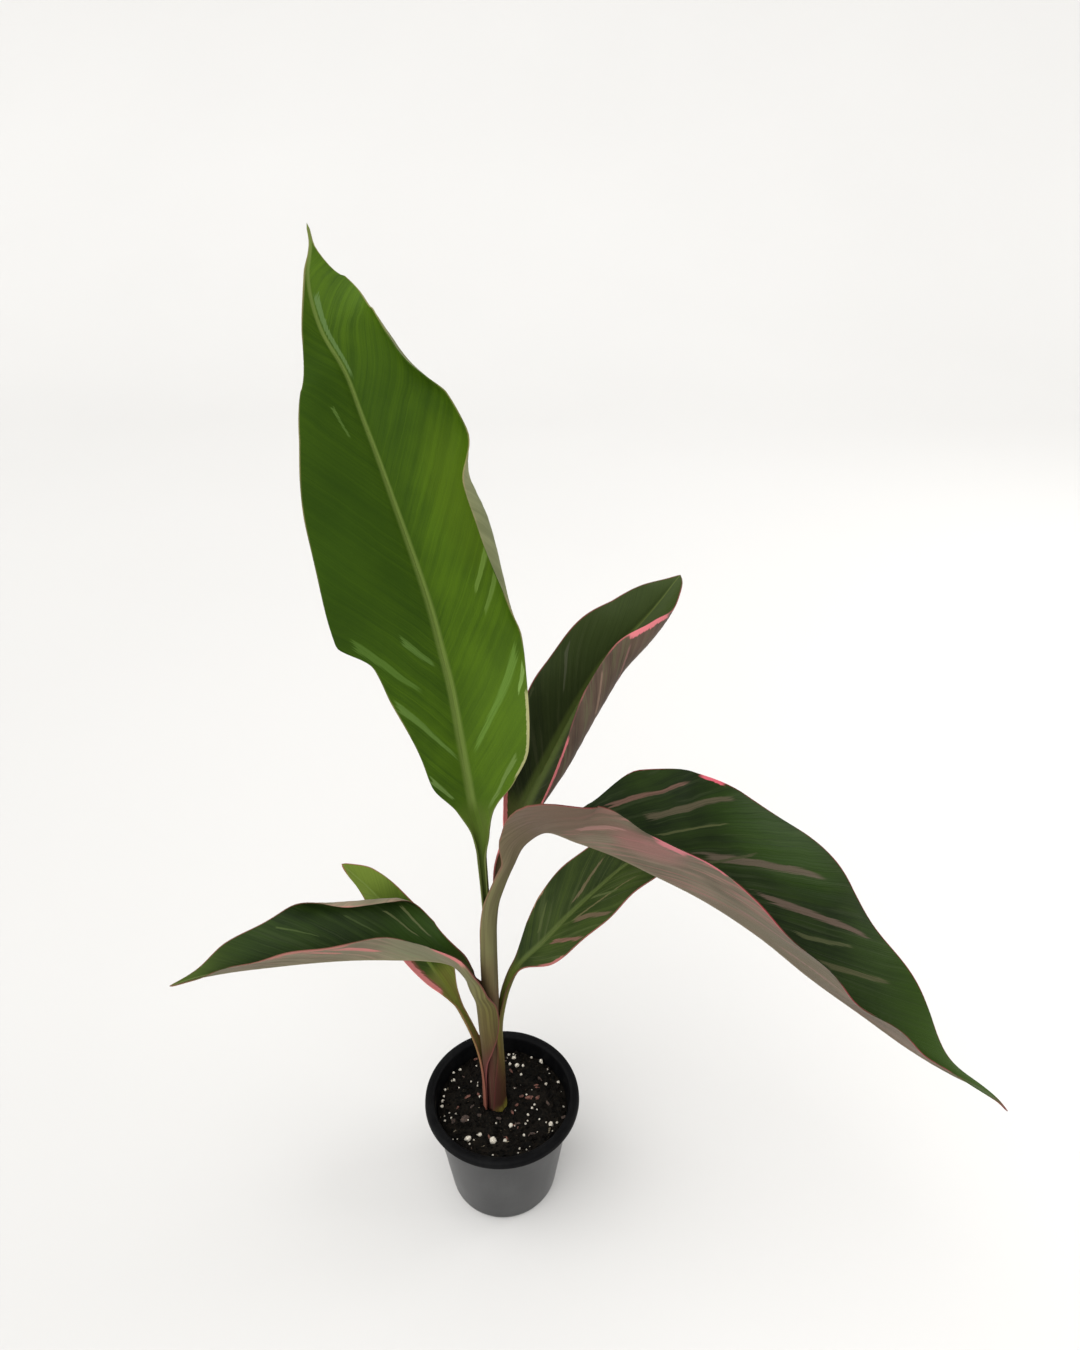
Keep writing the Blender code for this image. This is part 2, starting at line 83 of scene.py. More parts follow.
class Wire:  # a node's output that can be added, multiplied and compared like a number
    def __init__(self, socket):
        self.socket = socket

    def maths(self, operation, other=None, swapped=False):
        node = self.socket.id_data.nodes.new("ShaderNodeMath")
        node.operation = operation
        first, second = (other, self) if swapped else (self, other)
        plug(node.inputs[0], first)
        if second is not None:
            plug(node.inputs[1], second)
        return Wire(node.outputs[0])

    def __add__(self, other): return self.maths("ADD", other)
    def __radd__(self, other): return self.maths("ADD", other, True)
    def __sub__(self, other): return self.maths("SUBTRACT", other)
    def __rsub__(self, other): return self.maths("SUBTRACT", other, True)
    def __mul__(self, other): return self.maths("MULTIPLY", other)
    def __rmul__(self, other): return self.maths("MULTIPLY", other, True)
    def __truediv__(self, other): return self.maths("DIVIDE", other)
    def __rtruediv__(self, other): return self.maths("DIVIDE", other, True)
    def __pow__(self, other): return self.maths("POWER", other)
    def __abs__(self): return self.maths("ABSOLUTE")
    def __neg__(self): return self.maths("MULTIPLY", -1.0)
    def sine(self): return self.maths("SINE")
    def most(self, other): return self.maths("MAXIMUM", other)
    def least(self, other): return self.maths("MINIMUM", other)


class Finish:  # one material, built node by node
    def __init__(self, name):
        self.material = bpy.data.materials.new(name)
        self.material.use_nodes = True
        self.tree = self.material.node_tree
        self.shader = self.tree.nodes["Principled BSDF"]

    def node(self, kind, settings=None, sockets=None, out=0):
        made = self.tree.nodes.new("ShaderNode" + kind)
        for name, value in (settings or {}).items():
            if name == "stops":
                ramp = made.color_ramp
                while len(ramp.elements) < len(value):
                    ramp.elements.new(0.5)
                for element, (at, colour) in zip(ramp.elements, value):
                    element.position = at
                    element.color = colour
            else:
                setattr(made, name, value)
        for name, item in (sockets or {}).items():
            plug(made.inputs[name], item)
        return Wire(made.outputs[out])

    def split(self, vector):
        made = self.tree.nodes.new("ShaderNodeSeparateXYZ")
        plug(made.inputs[0], vector)
        return [Wire(output) for output in made.outputs]

    def map(self, name):
        return self.split(self.node("UVMap", {"uv_map": name}))[:2]

    def place(self):
        return self.node("TexCoord", out=3)

    def vector(self, x, y, z=0.0):
        return self.node("CombineXYZ", sockets={0: x, 1: y, 2: z})

    def noise(self, vector, scale=1.0, detail=2.0, rough=0.5):
        return self.node("TexNoise", sockets={"Vector": vector, "Scale": scale, "Detail": detail, "Roughness": rough})

    def between(self, value, low, high):  # 0 below low, 1 above high, soft in the middle
        return self.node(
            "MapRange",
            {"interpolation_type": "SMOOTHSTEP"},
            {"Value": value, "From Min": low, "From Max": high},
        )

    def mix(self, share, first, second):
        return self.node("Mix", {"data_type": "RGBA", "clamp_factor": True}, {0: share, 6: first, 7: second}, out=2)

    def ramp(self, value, stops):
        return self.node("ValToRGB", {"stops": [(at, screenColour(*colour)) for at, colour in stops]}, {0: value})

    def bump(self, height, distance, strength=1.0):
        return self.node("Bump", sockets={"Height": height, "Distance": distance, "Strength": strength})

    def set(self, **sockets):
        for name, item in sockets.items():
            label = {"colour": "Base Color", "rough": "Roughness", "normal": "Normal", "specular": "Specular IOR Level",
                     "coat": "Coat Weight", "coatRough": "Coat Roughness", "sheen": "Sheen Weight"}[name]
            plug(self.shader.inputs[label], item)
        return self.material


# Leaves
# A leaf is a sheet carried along a list of places from its foot at the stem's base to its tip.

stem = {"x": -4.0, "y": 0.0, "foot": 61.4, "lean": -1.7}


def wrapped(height, azimuth, inside, left, right, thick):  # rolled round the stem
    turn = math.radians(azimuth)
    outward = (math.cos(turn), math.sin(turn))
    rise = min(1.0, max(0.0, (height - 90) / 80))
    middle = stem["x"] + stem["lean"] * rise * rise * (3 - 2 * rise)
    point = (middle + inside * outward[0], stem["y"] + inside * outward[1], height)
    widths = (inside * math.radians(left), inside * math.radians(right))
    return place(point, (-outward[0], -outward[1], 0.0), widths, curl=(left, right), thick=(thick, thick))


def place(point, face, widths, fold=(0, 0), curl=(0, 0), lip=(0, 0), thick=(1.9, 0.65)):
    # left and right half: width, fold at the midrib, further turn to the margin, roll of the edge
    return {"point": point, "face": face, "widths": widths, "fold": fold, "curl": curl, "lip": lip, "thick": thick}


def eased(marks, values, at, steady=False):  # a smooth curve through the values at the marks
    values = np.asarray(values, float)
    flat = values.reshape(len(marks), -1)
    spans = np.diff(marks)
    rises = np.diff(flat, axis=0) / spans[:, None]
    slopes = np.vstack([rises[:1], np.zeros((len(marks) - 2, flat.shape[1])), rises[-1:]])
    for index in range(1, len(marks) - 1):
        before, after = rises[index - 1], rises[index]
        near, far = spans[index - 1], spans[index]
        if steady:
            same = before * after > 0
            low = np.where(same, before, 1.0)
            high = np.where(same, after, 1.0)
            mean = 3 * (near + far) / ((2 * far + near) / low + (far + 2 * near) / high)
            slopes[index] = np.where(same, mean, 0.0)
        else:
            slopes[index] = (far * before + near * after) / (near + far)
    index = np.clip(np.searchsorted(marks, at, side="right") - 1, 0, len(marks) - 2)
    span = spans[index][:, None]
    part = ((at - marks[index]) / spans[index])[:, None]
    result = (
        (2 * part**3 - 3 * part**2 + 1) * flat[index]
        + (part**3 - 2 * part**2 + part) * span * slopes[index]
        + (3 * part**2 - 2 * part**3) * flat[index + 1]
        + (part**3 - part**2) * span * slopes[index + 1]
    )
    return result.reshape((len(at),) + values.shape[1:])


def unit(vectors):
    return vectors / np.linalg.norm(vectors, axis=-1, keepdims=True)


def leafSheet(leaf):
    # points, thickness, distance across and along, and share across, row by row from foot to tip
    places, half = leaf["places"], leaf["halfSteps"]
    points = np.array([step["point"] for step in places], float)
    lengths = np.linalg.norm(np.diff(points, axis=0), axis=1)
    marks = np.concatenate([[0.0], np.cumsum(lengths)])
    at = []
    for low, high in zip(marks, marks[1:]):
        at.append(np.linspace(low, high, max(3, round((high - low) / leaf["rowEvery"])), endpoint=False))
    at = np.concatenate(at + [marks[-1:]])
    nudge = marks[-1] * 1e-4
    ahead = eased(marks, points, np.minimum(at + nudge, marks[-1]))
    behind = eased(marks, points, np.maximum(at - nudge, 0.0))
    along = unit(ahead - behind)
    up = eased(marks, unit(np.array([step["face"] for step in places], float)), at)
    up = unit(up - (up * along).sum(axis=1, keepdims=True) * along)
    toRight = np.cross(along, up)
    surface = np.zeros((len(at), 2 * half + 1, 3))
    across = np.zeros((len(at), 2 * half + 1))
    outward = np.zeros_like(surface)
    surface[:, half] = eased(marks, points, at)
    outward[:, half] = up
    for side in (-1, 1):
        pick = 0 if side < 0 else 1
        width, fold, curl, lip = (
            eased(marks, [step[key][pick] for step in places], at, steady=True)
            for key in ("widths", "fold", "curl", "lip")
        )
        shrink = np.maximum(np.radians(np.abs(curl)) / half / 2, 1e-9)
        chord = width / half * np.sin(shrink) / shrink
        for step in range(half):
            share = (step + 0.5) / half
            turn = np.radians(fold + curl * share + lip * share**5)
            direction = np.cos(turn)[:, None] * side * toRight + np.sin(turn)[:, None] * up
            here = half + side * (step + 1)
            surface[:, here] = surface[:, half + side * step] + chord[:, None] * direction
            outward[:, here] = np.cos(turn)[:, None] * up - np.sin(turn)[:, None] * side * toRight
            across[:, here] = side * width * (step + 1) / half
    opens = marks[leaf["bladeFrom"]]
    grown = np.clip((at - opens) / (marks[-1] - opens), 0.0, 1.0)
    swell = np.sin(math.pi * grown) ** 0.7
    for side, height, count, start in leaf["waves"]:
        rise = height * swell * np.sin(2 * math.pi * (count * grown + start))
        for step in range(1, half + 1):
            surface[:, half + side * step] += (rise * (step / half) ** 2)[:, None] * up
    shares = np.arange(-half, half + 1) / half
    distance = at[:, None] - opens + np.zeros_like(across)
    veins = (distance - leaf["veinLean"] * np.abs(across)) / (1 + leaf["veinTurn"] * np.abs(across))
    # pleats along the side veins, strongest half way out, and the midrib's shallow channel
    body = np.sin(math.pi * np.clip(np.abs(shares), 0.0, 1.0))[None, :] ** 0.8 * swell[:, None]
    uneven = 0.6 + 0.4 * np.sin(veins / 23.0 + 2.0 * np.sign(across))
    pleats = leaf["pleat"] * body * uneven * np.sin(2 * math.pi * veins / leaf["pleatEvery"] + 0.8 * np.sin(veins / 7.0))
    channel = -leaf["channel"] * swell[:, None] * np.exp(-((across / leaf["ribHalf"]) ** 2))
    surface += (pleats + channel)[:, :, None] * outward
    ribs, sheets = eased(marks, [step["thick"] for step in places], at, steady=True).T
    ridge = np.clip(1 - np.abs(shares) * 3.0, 0.0, 1.0)[None, :] ** 1.5
    thick = sheets[:, None] + (ribs - sheets)[:, None] * ridge
    return surface, thick * leaf["thin"], across, distance, shares, opens, marks[-1] - opens


def growLeaf(leaf):
    surface, thick, across, distance, shares, stalk, blade = leafSheet(leaf)
    rows, columns = surface.shape[0] - 1, surface.shape[1] - 1
    dropSelection()
    bpy.ops.mesh.primitive_grid_add(x_subdivisions=rows, y_subdivisions=columns, size=2.0)
    piece = bpy.context.object
    piece.name = piece.data.name = leaf["name"]
    mesh = piece.data
    flat = np.empty(len(mesh.vertices) * 3)
    mesh.vertices.foreach_get("co", flat)
    flat = flat.reshape(-1, 3)
    row = np.rint((flat[:, 0] + 1) / 2 * rows).astype(int)
    column = np.rint((1 - flat[:, 1]) / 2 * columns).astype(int)
    tip = row == rows
    shape = surface[row, column]
    shape[tip] = surface[rows, columns // 2]
    mesh.vertices.foreach_set("co", (shape * mm).ravel())
    corner = np.empty(len(mesh.loops), int)
    mesh.loops.foreach_get("vertex_index", corner)
    share = (shares[column] + 1) / 2
    ripe = np.where(distance[row, column] < 0, distance[row, column] / stalk, distance[row, column] / blade)
    length = np.stack([across[row, column], distance[row, column]], 1) * mm
    for name, pair in (("leafShare", np.stack([share, (ripe + 1) / 2], 1)), ("leafLength", length)):
        layer = mesh.uv_layers.new(name=name)
        layer.data.foreach_set("uv", pair[corner].ravel())
    while mesh.uv_layers[0].name not in ("leafShare", "leafLength"):
        mesh.uv_layers.remove(mesh.uv_layers[0])
    group = piece.vertex_groups.new(name="thickness")
    most = float(thick.max())
    for level in range(1, 41):  # forty steps of thickness are finer than can be seen
        picked = np.nonzero(np.rint(thick[row, column] / most * 40) == level)[0]
        if len(picked):
            group.add(picked.tolist(), level / 40, "REPLACE")
    pickOnly(piece)
    bpy.ops.object.mode_set(mode="EDIT")
    bpy.ops.mesh.select_all(action="DESELECT")
    bpy.ops.object.mode_set(mode="OBJECT")
    mesh.vertices.foreach_set("select", tip)
    bpy.ops.object.mode_set(mode="EDIT")
    bpy.ops.mesh.remove_doubles(threshold=0.01 * mm)
    bpy.ops.object.mode_set(mode="OBJECT")
    mesh.materials.append(leafFinish(leaf, "upper"))
    mesh.materials.append(leafFinish(leaf, "under"))
    solid = piece.modifiers.new("body", "SOLIDIFY")
    solid.thickness = most * mm
    solid.offset = -1.0
    solid.vertex_group = "thickness"
    solid.material_offset = 1
    applyAll(piece)
    piece.vertex_groups.clear()
    bpy.ops.object.shade_smooth_by_angle(angle=math.radians(50))
    settle(piece, leaf["slot"], leaf["node"])
    print("grew", leaf["name"], len(piece.data.polygons), "faces")
    return piece


def leafFinish(leaf, side):
    look = leaf[side]
    finish = Finish(leaf["name"] + side.capitalize())
    shareX, shareY = finish.map("leafShare")
    lengthX, lengthY = finish.map("leafLength")
    out = abs(shareX * 2.0 - 1.0)  # 0 at the midrib, 1 at the margin
    across, along = lengthX * 1000.0, lengthY * 1000.0
    reach = abs(across)
    edge = reach / out.most(0.02) - reach  # distance to the margin
    wander = finish.noise(finish.vector(across * 0.06, along * 0.06, 3.0), detail=3.0) - 0.5
    # where the side vein at this spot leaves the midrib, in mm along it
    vein = (along - reach * leaf["veinLean"]) / (reach * leaf["veinTurn"] + 1.0) + wander * 3.0
    # thin lines and broader bands that run out along the side veins
    fine = finish.noise(finish.vector(vein * 0.9, across * 0.02, 1.0), detail=3.0, rough=0.6)
    thread = finish.noise(finish.vector(vein * 1.9, across * 0.03, 11.0), detail=1.0)
    band = finish.noise(finish.vector(vein * 0.16, across * 0.012, 5.0), detail=2.0)
    cloud = finish.noise(finish.vector(across * 0.03, along * 0.02, 9.0), detail=3.0)
    blade = finish.between(along, -6.0, 8.0)
    light = finish.between(band * 0.35 + fine * 0.25 + cloud * 0.55, 0.4, 0.76)
    colour = finish.mix(light, screenColour(*look["dark"]), screenColour(*look["light"]))
    if "veil" in look:  # paler cloudy bands along the side veins
        veil = finish.noise(finish.vector(vein * 0.3, across * 0.035, 15.0), detail=3.0, rough=0.6)
        colour = finish.mix(finish.between(veil, 0.52, 0.64) * look["veilShow"], colour, screenColour(*look["veil"]))
    if "tipColour" in look:
        colour = finish.mix(finish.between(shareY, *look["tipFrom"]), colour, screenColour(*look["tipColour"]))
    for middle, at, wide, long, show, tint in look.get("blush", []):  # across, along, both sizes, strength, colour
        spot = ((across - middle) / wide) ** 2.0 + ((along - at) / long) ** 2.0
        soft = 1.0 - finish.between(spot + (fine - 0.5) * 0.6, 0.0, 1.0)
        colour = finish.mix(soft * show, colour, screenColour(*tint))
    for fromAcross, fromAlong, toAcross, toAlong, wide, tint in leaf.get("streaks", {}).get(side, []):
        # a wedge between two spots of the blade, given across and along it, wide at the first
        half = 1 if fromAcross + toAcross > 0 else -1
        run, climb = (toAcross - fromAcross) * half, toAlong - fromAlong
        if abs(climb) > 4.5 * abs(run):  # along the blade
            share = (along - fromAlong) / climb
            aside = (across * half - fromAcross * half - share * run)
            spread = 1.0
        else:  # along a side vein
            lean, turn = leaf["veinLean"], leaf["veinTurn"]
            start = (fromAlong - abs(fromAcross) * lean) / (abs(fromAcross) * turn + 1.0)
            end = (toAlong - abs(toAcross) * lean) / (abs(toAcross) * turn + 1.0)
            share = (across * half - fromAcross * half) / run
            aside = vein - start - share * (end - start)
            spread = math.hypot(1.0, lean + turn * start) / (1.0 + turn * abs(fromAcross + toAcross) / 2)
        reachOut = share + (fine - 0.5) * 0.4
        broad = (0.5 - share * 0.25 + (fine - 0.5) * 0.7) * (wide * spread)
        body = 1.0 - finish.between(abs(aside) - broad, -0.12 * wide * spread, 0.08 * wide * spread)
        ends = finish.between(reachOut, -0.03, 0.04) * (1.0 - finish.between(reachOut, 0.88, 1.0))
        colour = finish.mix(body * ends * 0.92, colour, screenColour(*tint))
    colour = finish.mix(finish.between(thread, 0.54, 0.66) * 0.3, colour, screenColour(*look["dark"]))
    ribHalf = finish.between(shareY, 0.5, 1.0) * (look["ribTip"] - look["ribFoot"]) + look["ribFoot"]
    rib = (1.0 - finish.between(reach / ribHalf, 0.35, 1.2)) * look.get("ribShow", 0.9)
    groove = finish.noise(finish.vector(across * 2.5, along * 0.02, 4.0), detail=2.0)
    ribColour = finish.mix(groove, screenColour(*look["rib"]), screenColour(*look.get("ribLight", look["rib"])))
    colour = finish.mix(rib, colour, ribColour)
    hem = 1.0 - finish.between(edge + (fine - 0.5) * look["edgeRag"], look["edgeWide"] * 0.4, look["edgeWide"])
    hem = hem * finish.between(cloud + look.get("edgeFull", 0.05), 0.42, 0.62) * 0.85
    colour = finish.mix(hem, colour, screenColour(*look["edge"]))
    # stalk and sheath below the blade
    strand = finish.noise(finish.vector(across * 0.8, along * 0.012, 7.0), detail=3.0, rough=0.6)
    mottle = finish.noise(finish.vector(across * 0.12, along * 0.05, 8.0), detail=3.0)
    height = shareY * 2.0 + (mottle - 0.5) * 0.12
    stalk = finish.ramp(height, leaf["stalk"][side])
    streaky = finish.mix(finish.between(strand, 0.4, 0.62) * 0.5, stalk, screenColour(*leaf["stalk"]["strand"]))
    flush = (1.0 - finish.between(edge + (strand - 0.5) * 4.0, 0.5, 6.5)) * (1.0 - finish.between(height, 0.3, 0.7))
    streaky = finish.mix(flush * 0.75, streaky, screenColour(*leaf["stalk"]["flush"]))
    sheathHem = 1.0 - finish.between(edge + (strand - 0.5) * 1.4, 0.2, 1.1)
    stalkColour = finish.mix(sheathHem * leaf["stalk"]["hemShow"], streaky, screenColour(*leaf["stalk"]["hem"]))
    colour = finish.mix(blade, stalkColour, colour)
    for half, start, end, wide, tint in look.get("margins", []):  # broad patches along the margin
        at = along + (fine - 0.5) * 8.0
        patch = 1.0 - finish.between(edge + (fine - 0.5) * wide * 0.9, wide * 0.8, wide)
        patch = patch * finish.between(at, start, start + 4.0) * (1.0 - finish.between(at, end - 4.0, end))
        colour = finish.mix(patch * finish.between(across * half, 0.0, 0.5) * 0.9, colour, screenColour(*tint))
    relief = fine * 0.8 * blade + strand * 0.8 * (1.0 - blade) + rib * groove * 0.5
    rough = look["rough"] + (cloud - 0.5) * 0.15 + (fine - 0.5) * 0.1
    return finish.set(colour=colour, rough=rough, normal=finish.bump(relief, 0.22 * mm), specular=leaf.get("gloss", 0.06))


uprightFace = (0.1, -1.0, 0.2)
uprightLeaf = {
    "name": "uprightLeaf", "node": "leaf_upright", "slot": "upright_leaf",
    "places": [
        wrapped(stem["foot"], 90, 1.6, 150, 150, 1.1),
        wrapped(215, 90, 1.6, 150, 150, 1.1),
        wrapped(232, 90, 1.6, 150, 150, 1.1),
        place((-6.6, 1.8, 266), (0, -1, 0.1), (4, 4), curl=(140, 140), thick=(1.2, 1.1)),
        place((-7.6, 2.3, 290), (0, -1, 0.1), (4, 4), curl=(130, 130), thick=(1.6, 1.3)),
        place((-8.4, 3, 308), uprightFace, (5, 6.5), fold=(5, 5), curl=(60, 70), thick=(2.2, 1.0)),
        place((-12, 6, 324), uprightFace, (9.5, 14), fold=(15, 15), curl=(10, 20), thick=(2.2, 0.7)),
        place((-14.5, 7.5, 344), uprightFace, (20.5, 29), fold=(18, 18), curl=(5, 15)),
        place((-17, 9, 364), uprightFace, (24, 39), fold=(20, 20), curl=(5, 10)),
        place((-22, 14, 400), uprightFace, (33, 42.5), fold=(20, 20)),
        place((-26, 16.5, 420), uprightFace, (37, 46.5), fold=(20, 20), lip=(0, 30)),
        place((-30, 19, 439), uprightFace, (52, 51.5), fold=(20, 20), lip=(0, 95)),
        place((-41, 24, 479), uprightFace, (48, 60), fold=(20, 20), lip=(0, 165)),
        place((-47, 26.5, 499), uprightFace, (45, 55), fold=(20, 20), lip=(0, 140)),
        place((-53, 29, 519), uprightFace, (39, 52.5), fold=(20, 20), lip=(0, 55)),
        place((-58.5, 31.3, 536), uprightFace, (32, 49), fold=(20, 20), lip=(0, 60)),
        place((-65, 34, 556), uprightFace, (23.5, 38.5), fold=(20, 20), curl=(0, 10), lip=(0, 95)),
        place((-75, 37, 575), uprightFace, (9, 30.5), fold=(15, 20), curl=(0, 10), lip=(0, 40)),
        place((-79, 41, 597), uprightFace, (1.5, 17), fold=(10, 10), thick=(1.0, 0.7)),
        place((-77, 45, 611), uprightFace, (0.8, 1.0), thick=(0.8, 0.7)),
        place((-78, 46, 618), uprightFace, (0.5, 0.5), thick=(0.7, 0.7)),
    ],
    "bladeFrom": 6, "rowEvery": 2.2, "halfSteps": 20, "thin": 0.8,
    "waves": [(-1, 2.0, 4.5, 0.2), (1, 2.5, 3.5, 0.6)],
    "veinLean": 1.45, "veinTurn": 0.0, "pleat": 0.28, "pleatEvery": 9.0, "channel": 0.7, "ribHalf": 1.7,
    "streaks": {"upper": [
        (-43.4, 114.0, -15.6, 77.2, 4.4, (72, 98, 36)),
        (-19.2, 107.3, -5.3, 88.6, 3.2, (78, 104, 44)),
        (-30.5, 74.2, -2.8, 32.1, 3.8, (82, 108, 46)),
        (40.3, 90.6, 6.2, 35.5, 5.0, (84, 112, 42)),
        (42.2, 82.3, 36.4, 69.6, 3.4, (108, 134, 66)),
        (39.4, 143.5, 25.7, 124.3, 3.6, (88, 112, 44)),
        (40.6, 131.3, 27.5, 112.4, 3.2, (84, 108, 42)),
        (-20.6, 25.3, -9.4, 8.4, 2.8, (92, 116, 58)),
        (30.3, 33.8, 7.7, -4.2, 3.0, (92, 114, 54)),
        (-12.0, 227.4, -9.1, 211.0, 1.6, (76, 100, 42)),
        (2.8, 276.0, 2.2, 236.0, 3.0, (84, 108, 58)),
    ]},
    "upper": {"dark": (42, 65, 8), "light": (66, 92, 13), "rib": (78, 98, 36), "ribLight": (108, 124, 62),
              "ribFoot": 3.0, "ribTip": 0.9, "edge": (120, 116, 74), "edgeWide": 0.7, "edgeRag": 0.4, "rough": 0.42,
              "blush": [(-30, 190, 46, 150, 0.7, (40, 63, 10)), (34, 30, 40, 90, 0.5, (76, 102, 24)),
                        (36, 170, 22, 50, 0.5, (70, 92, 10)), (0, -6, 30, 34, 0.5, (60, 84, 18))],
              "margins": [(1, 20, 72, 1.6, (150, 148, 104))]},
    "under": {"dark": (92, 96, 66), "light": (122, 124, 90), "rib": (106, 114, 70), "ribLight": (118, 126, 84),
              "ribFoot": 2.2, "ribTip": 0.6, "edge": (140, 122, 90), "edgeWide": 0.7, "edgeRag": 0.4, "rough": 0.55},
    "stalk": {"upper": [(0.0, (112, 112, 70)), (0.7, (84, 96, 44)), (1.0, (66, 88, 22))],
              "under": [(0.0, (92, 82, 58)), (0.7, (80, 88, 44)), (0.9, (80, 96, 38)), (1.0, (82, 102, 38))],
              "strand": (66, 74, 34), "hem": (104, 108, 66), "hemShow": 0.4, "flush": (90, 70, 48)},
}

backFace = (-0.35, -0.6, 0.7)
backLeaf = {
    "name": "backLeaf", "node": "leaf_back", "slot": "dark_leaf",
    "places": [
        wrapped(stem["foot"], 45, 3.0, 150, 150, 0.9),
        wrapped(215, 45, 3.0, 150, 150, 0.9),
        wrapped(232, 45, 3.0, 105, 140, 0.9),
        place((-1.6, 2.2, 250), (-0.7, -0.7, 0), (4.0, 5.8), curl=(76, 110), thick=(0.9, 0.9)),
        place((0.4, 3.2, 266), (-0.65, -0.75, 0.1), (2.9, 5), curl=(52, 90), thick=(1.1, 1.0)),
        place((4.0, 6.6, 282), (-0.6, -0.8, 0.3), (4.6, 4.6), curl=(95, 95), thick=(1.4, 1.1)),
        place((8.8, 10, 297), (-0.5, -0.7, 0.4), (5, 5), curl=(90, 90), thick=(1.8, 1.2)),
        place((12.6, 14, 307), backFace, (9, 9), fold=(10, 0), curl=(60, 60), thick=(2.0, 0.9)),
        place((17, 19, 315), backFace, (14, 19), fold=(30, 0), curl=(20, 80)),
        place((31, 38, 335), backFace, (26, 38), fold=(45, -5), curl=(0, 122)),
        place((50, 66, 359), backFace, (31.5, 46), fold=(50, -10), curl=(0, 150)),
        place((65, 84, 375), backFace, (29, 46), fold=(50, -10), curl=(0, 150)),
        place((84, 100, 388), backFace, (24, 36), fold=(50, -10), curl=(0, 128)),
        place((100, 114, 400), backFace, (14.5, 17), fold=(45, -5), curl=(0, 72)),
        place((110, 122, 410), backFace, (3.5, 6), fold=(20, 0), curl=(0, 40), thick=(1.0, 0.7)),
        place((113, 124, 413), backFace, (0.5, 0.5), thick=(0.7, 0.7)),
    ],
    "bladeFrom": 8, "rowEvery": 2.2, "halfSteps": 20, "thin": 0.8,
    "waves": [(-1, 1.5, 3.5, 0.1)],
    "veinLean": 1.2, "veinTurn": 0.008, "pleat": 0.25, "pleatEvery": 8.0, "channel": 0.6, "ribHalf": 1.5,
    "streaks": {
        "upper": [(-25.4, 92.4, -11.0, 68.0, 3.0, (72, 76, 56)), (-29.0, 60.0, -26.0, 40.0, 1.4, (60, 66, 42))],
        "under": [(30.0, 60.0, 44.0, 84.0, 2.4, (112, 92, 78)), (24.0, 84.0, 40.0, 108.0, 2.4, (112, 84, 76))],
    },
    "upper": {"dark": (29, 35, 19), "light": (46, 54, 28), "rib": (74, 88, 38), "ribLight": (86, 98, 48),
              "veil": (64, 66, 46), "veilShow": 0.4, "margins": [(-1, -34, 16, 2.8, (198, 112, 110)), (1, -20, 30, 2.0, (170, 96, 94))],
              "ribFoot": 5.0, "ribTip": 0.3, "ribShow": 0.75, "edge": (120, 64, 62), "edgeWide": 0.7, "edgeRag": 0.5,
              "rough": 0.36, "tipFrom": (0.5, 0.95), "tipColour": (54, 66, 32)},
    "under": {"dark": (62, 50, 42), "light": (92, 76, 64), "veil": (84, 84, 60), "veilShow": 0.55,
              "margins": [(1, 108, 142, 3.6, (204, 112, 118)), (1, 0, 40, 1.6, (184, 100, 104)), (-1, -34, 16, 2.2, (198, 112, 110))], "rib": (96, 92, 68), "ribLight": (106, 102, 78),
              "ribFoot": 2.2, "ribTip": 0.6, "edge": (164, 92, 90), "edgeWide": 1.0, "edgeRag": 1.0, "rough": 0.55},
    "stalk": {"upper": [(0.0, (92, 84, 60)), (0.8, (84, 68, 48)), (1.0, (66, 78, 34))],
              "under": [(0.0, (84, 72, 52)), (0.8, (78, 58, 46)), (0.93, (92, 62, 54)), (1.0, (96, 76, 62))],
              "strand": (66, 50, 40), "hem": (164, 92, 90), "hemShow": 0.7, "flush": (120, 64, 62)},
}

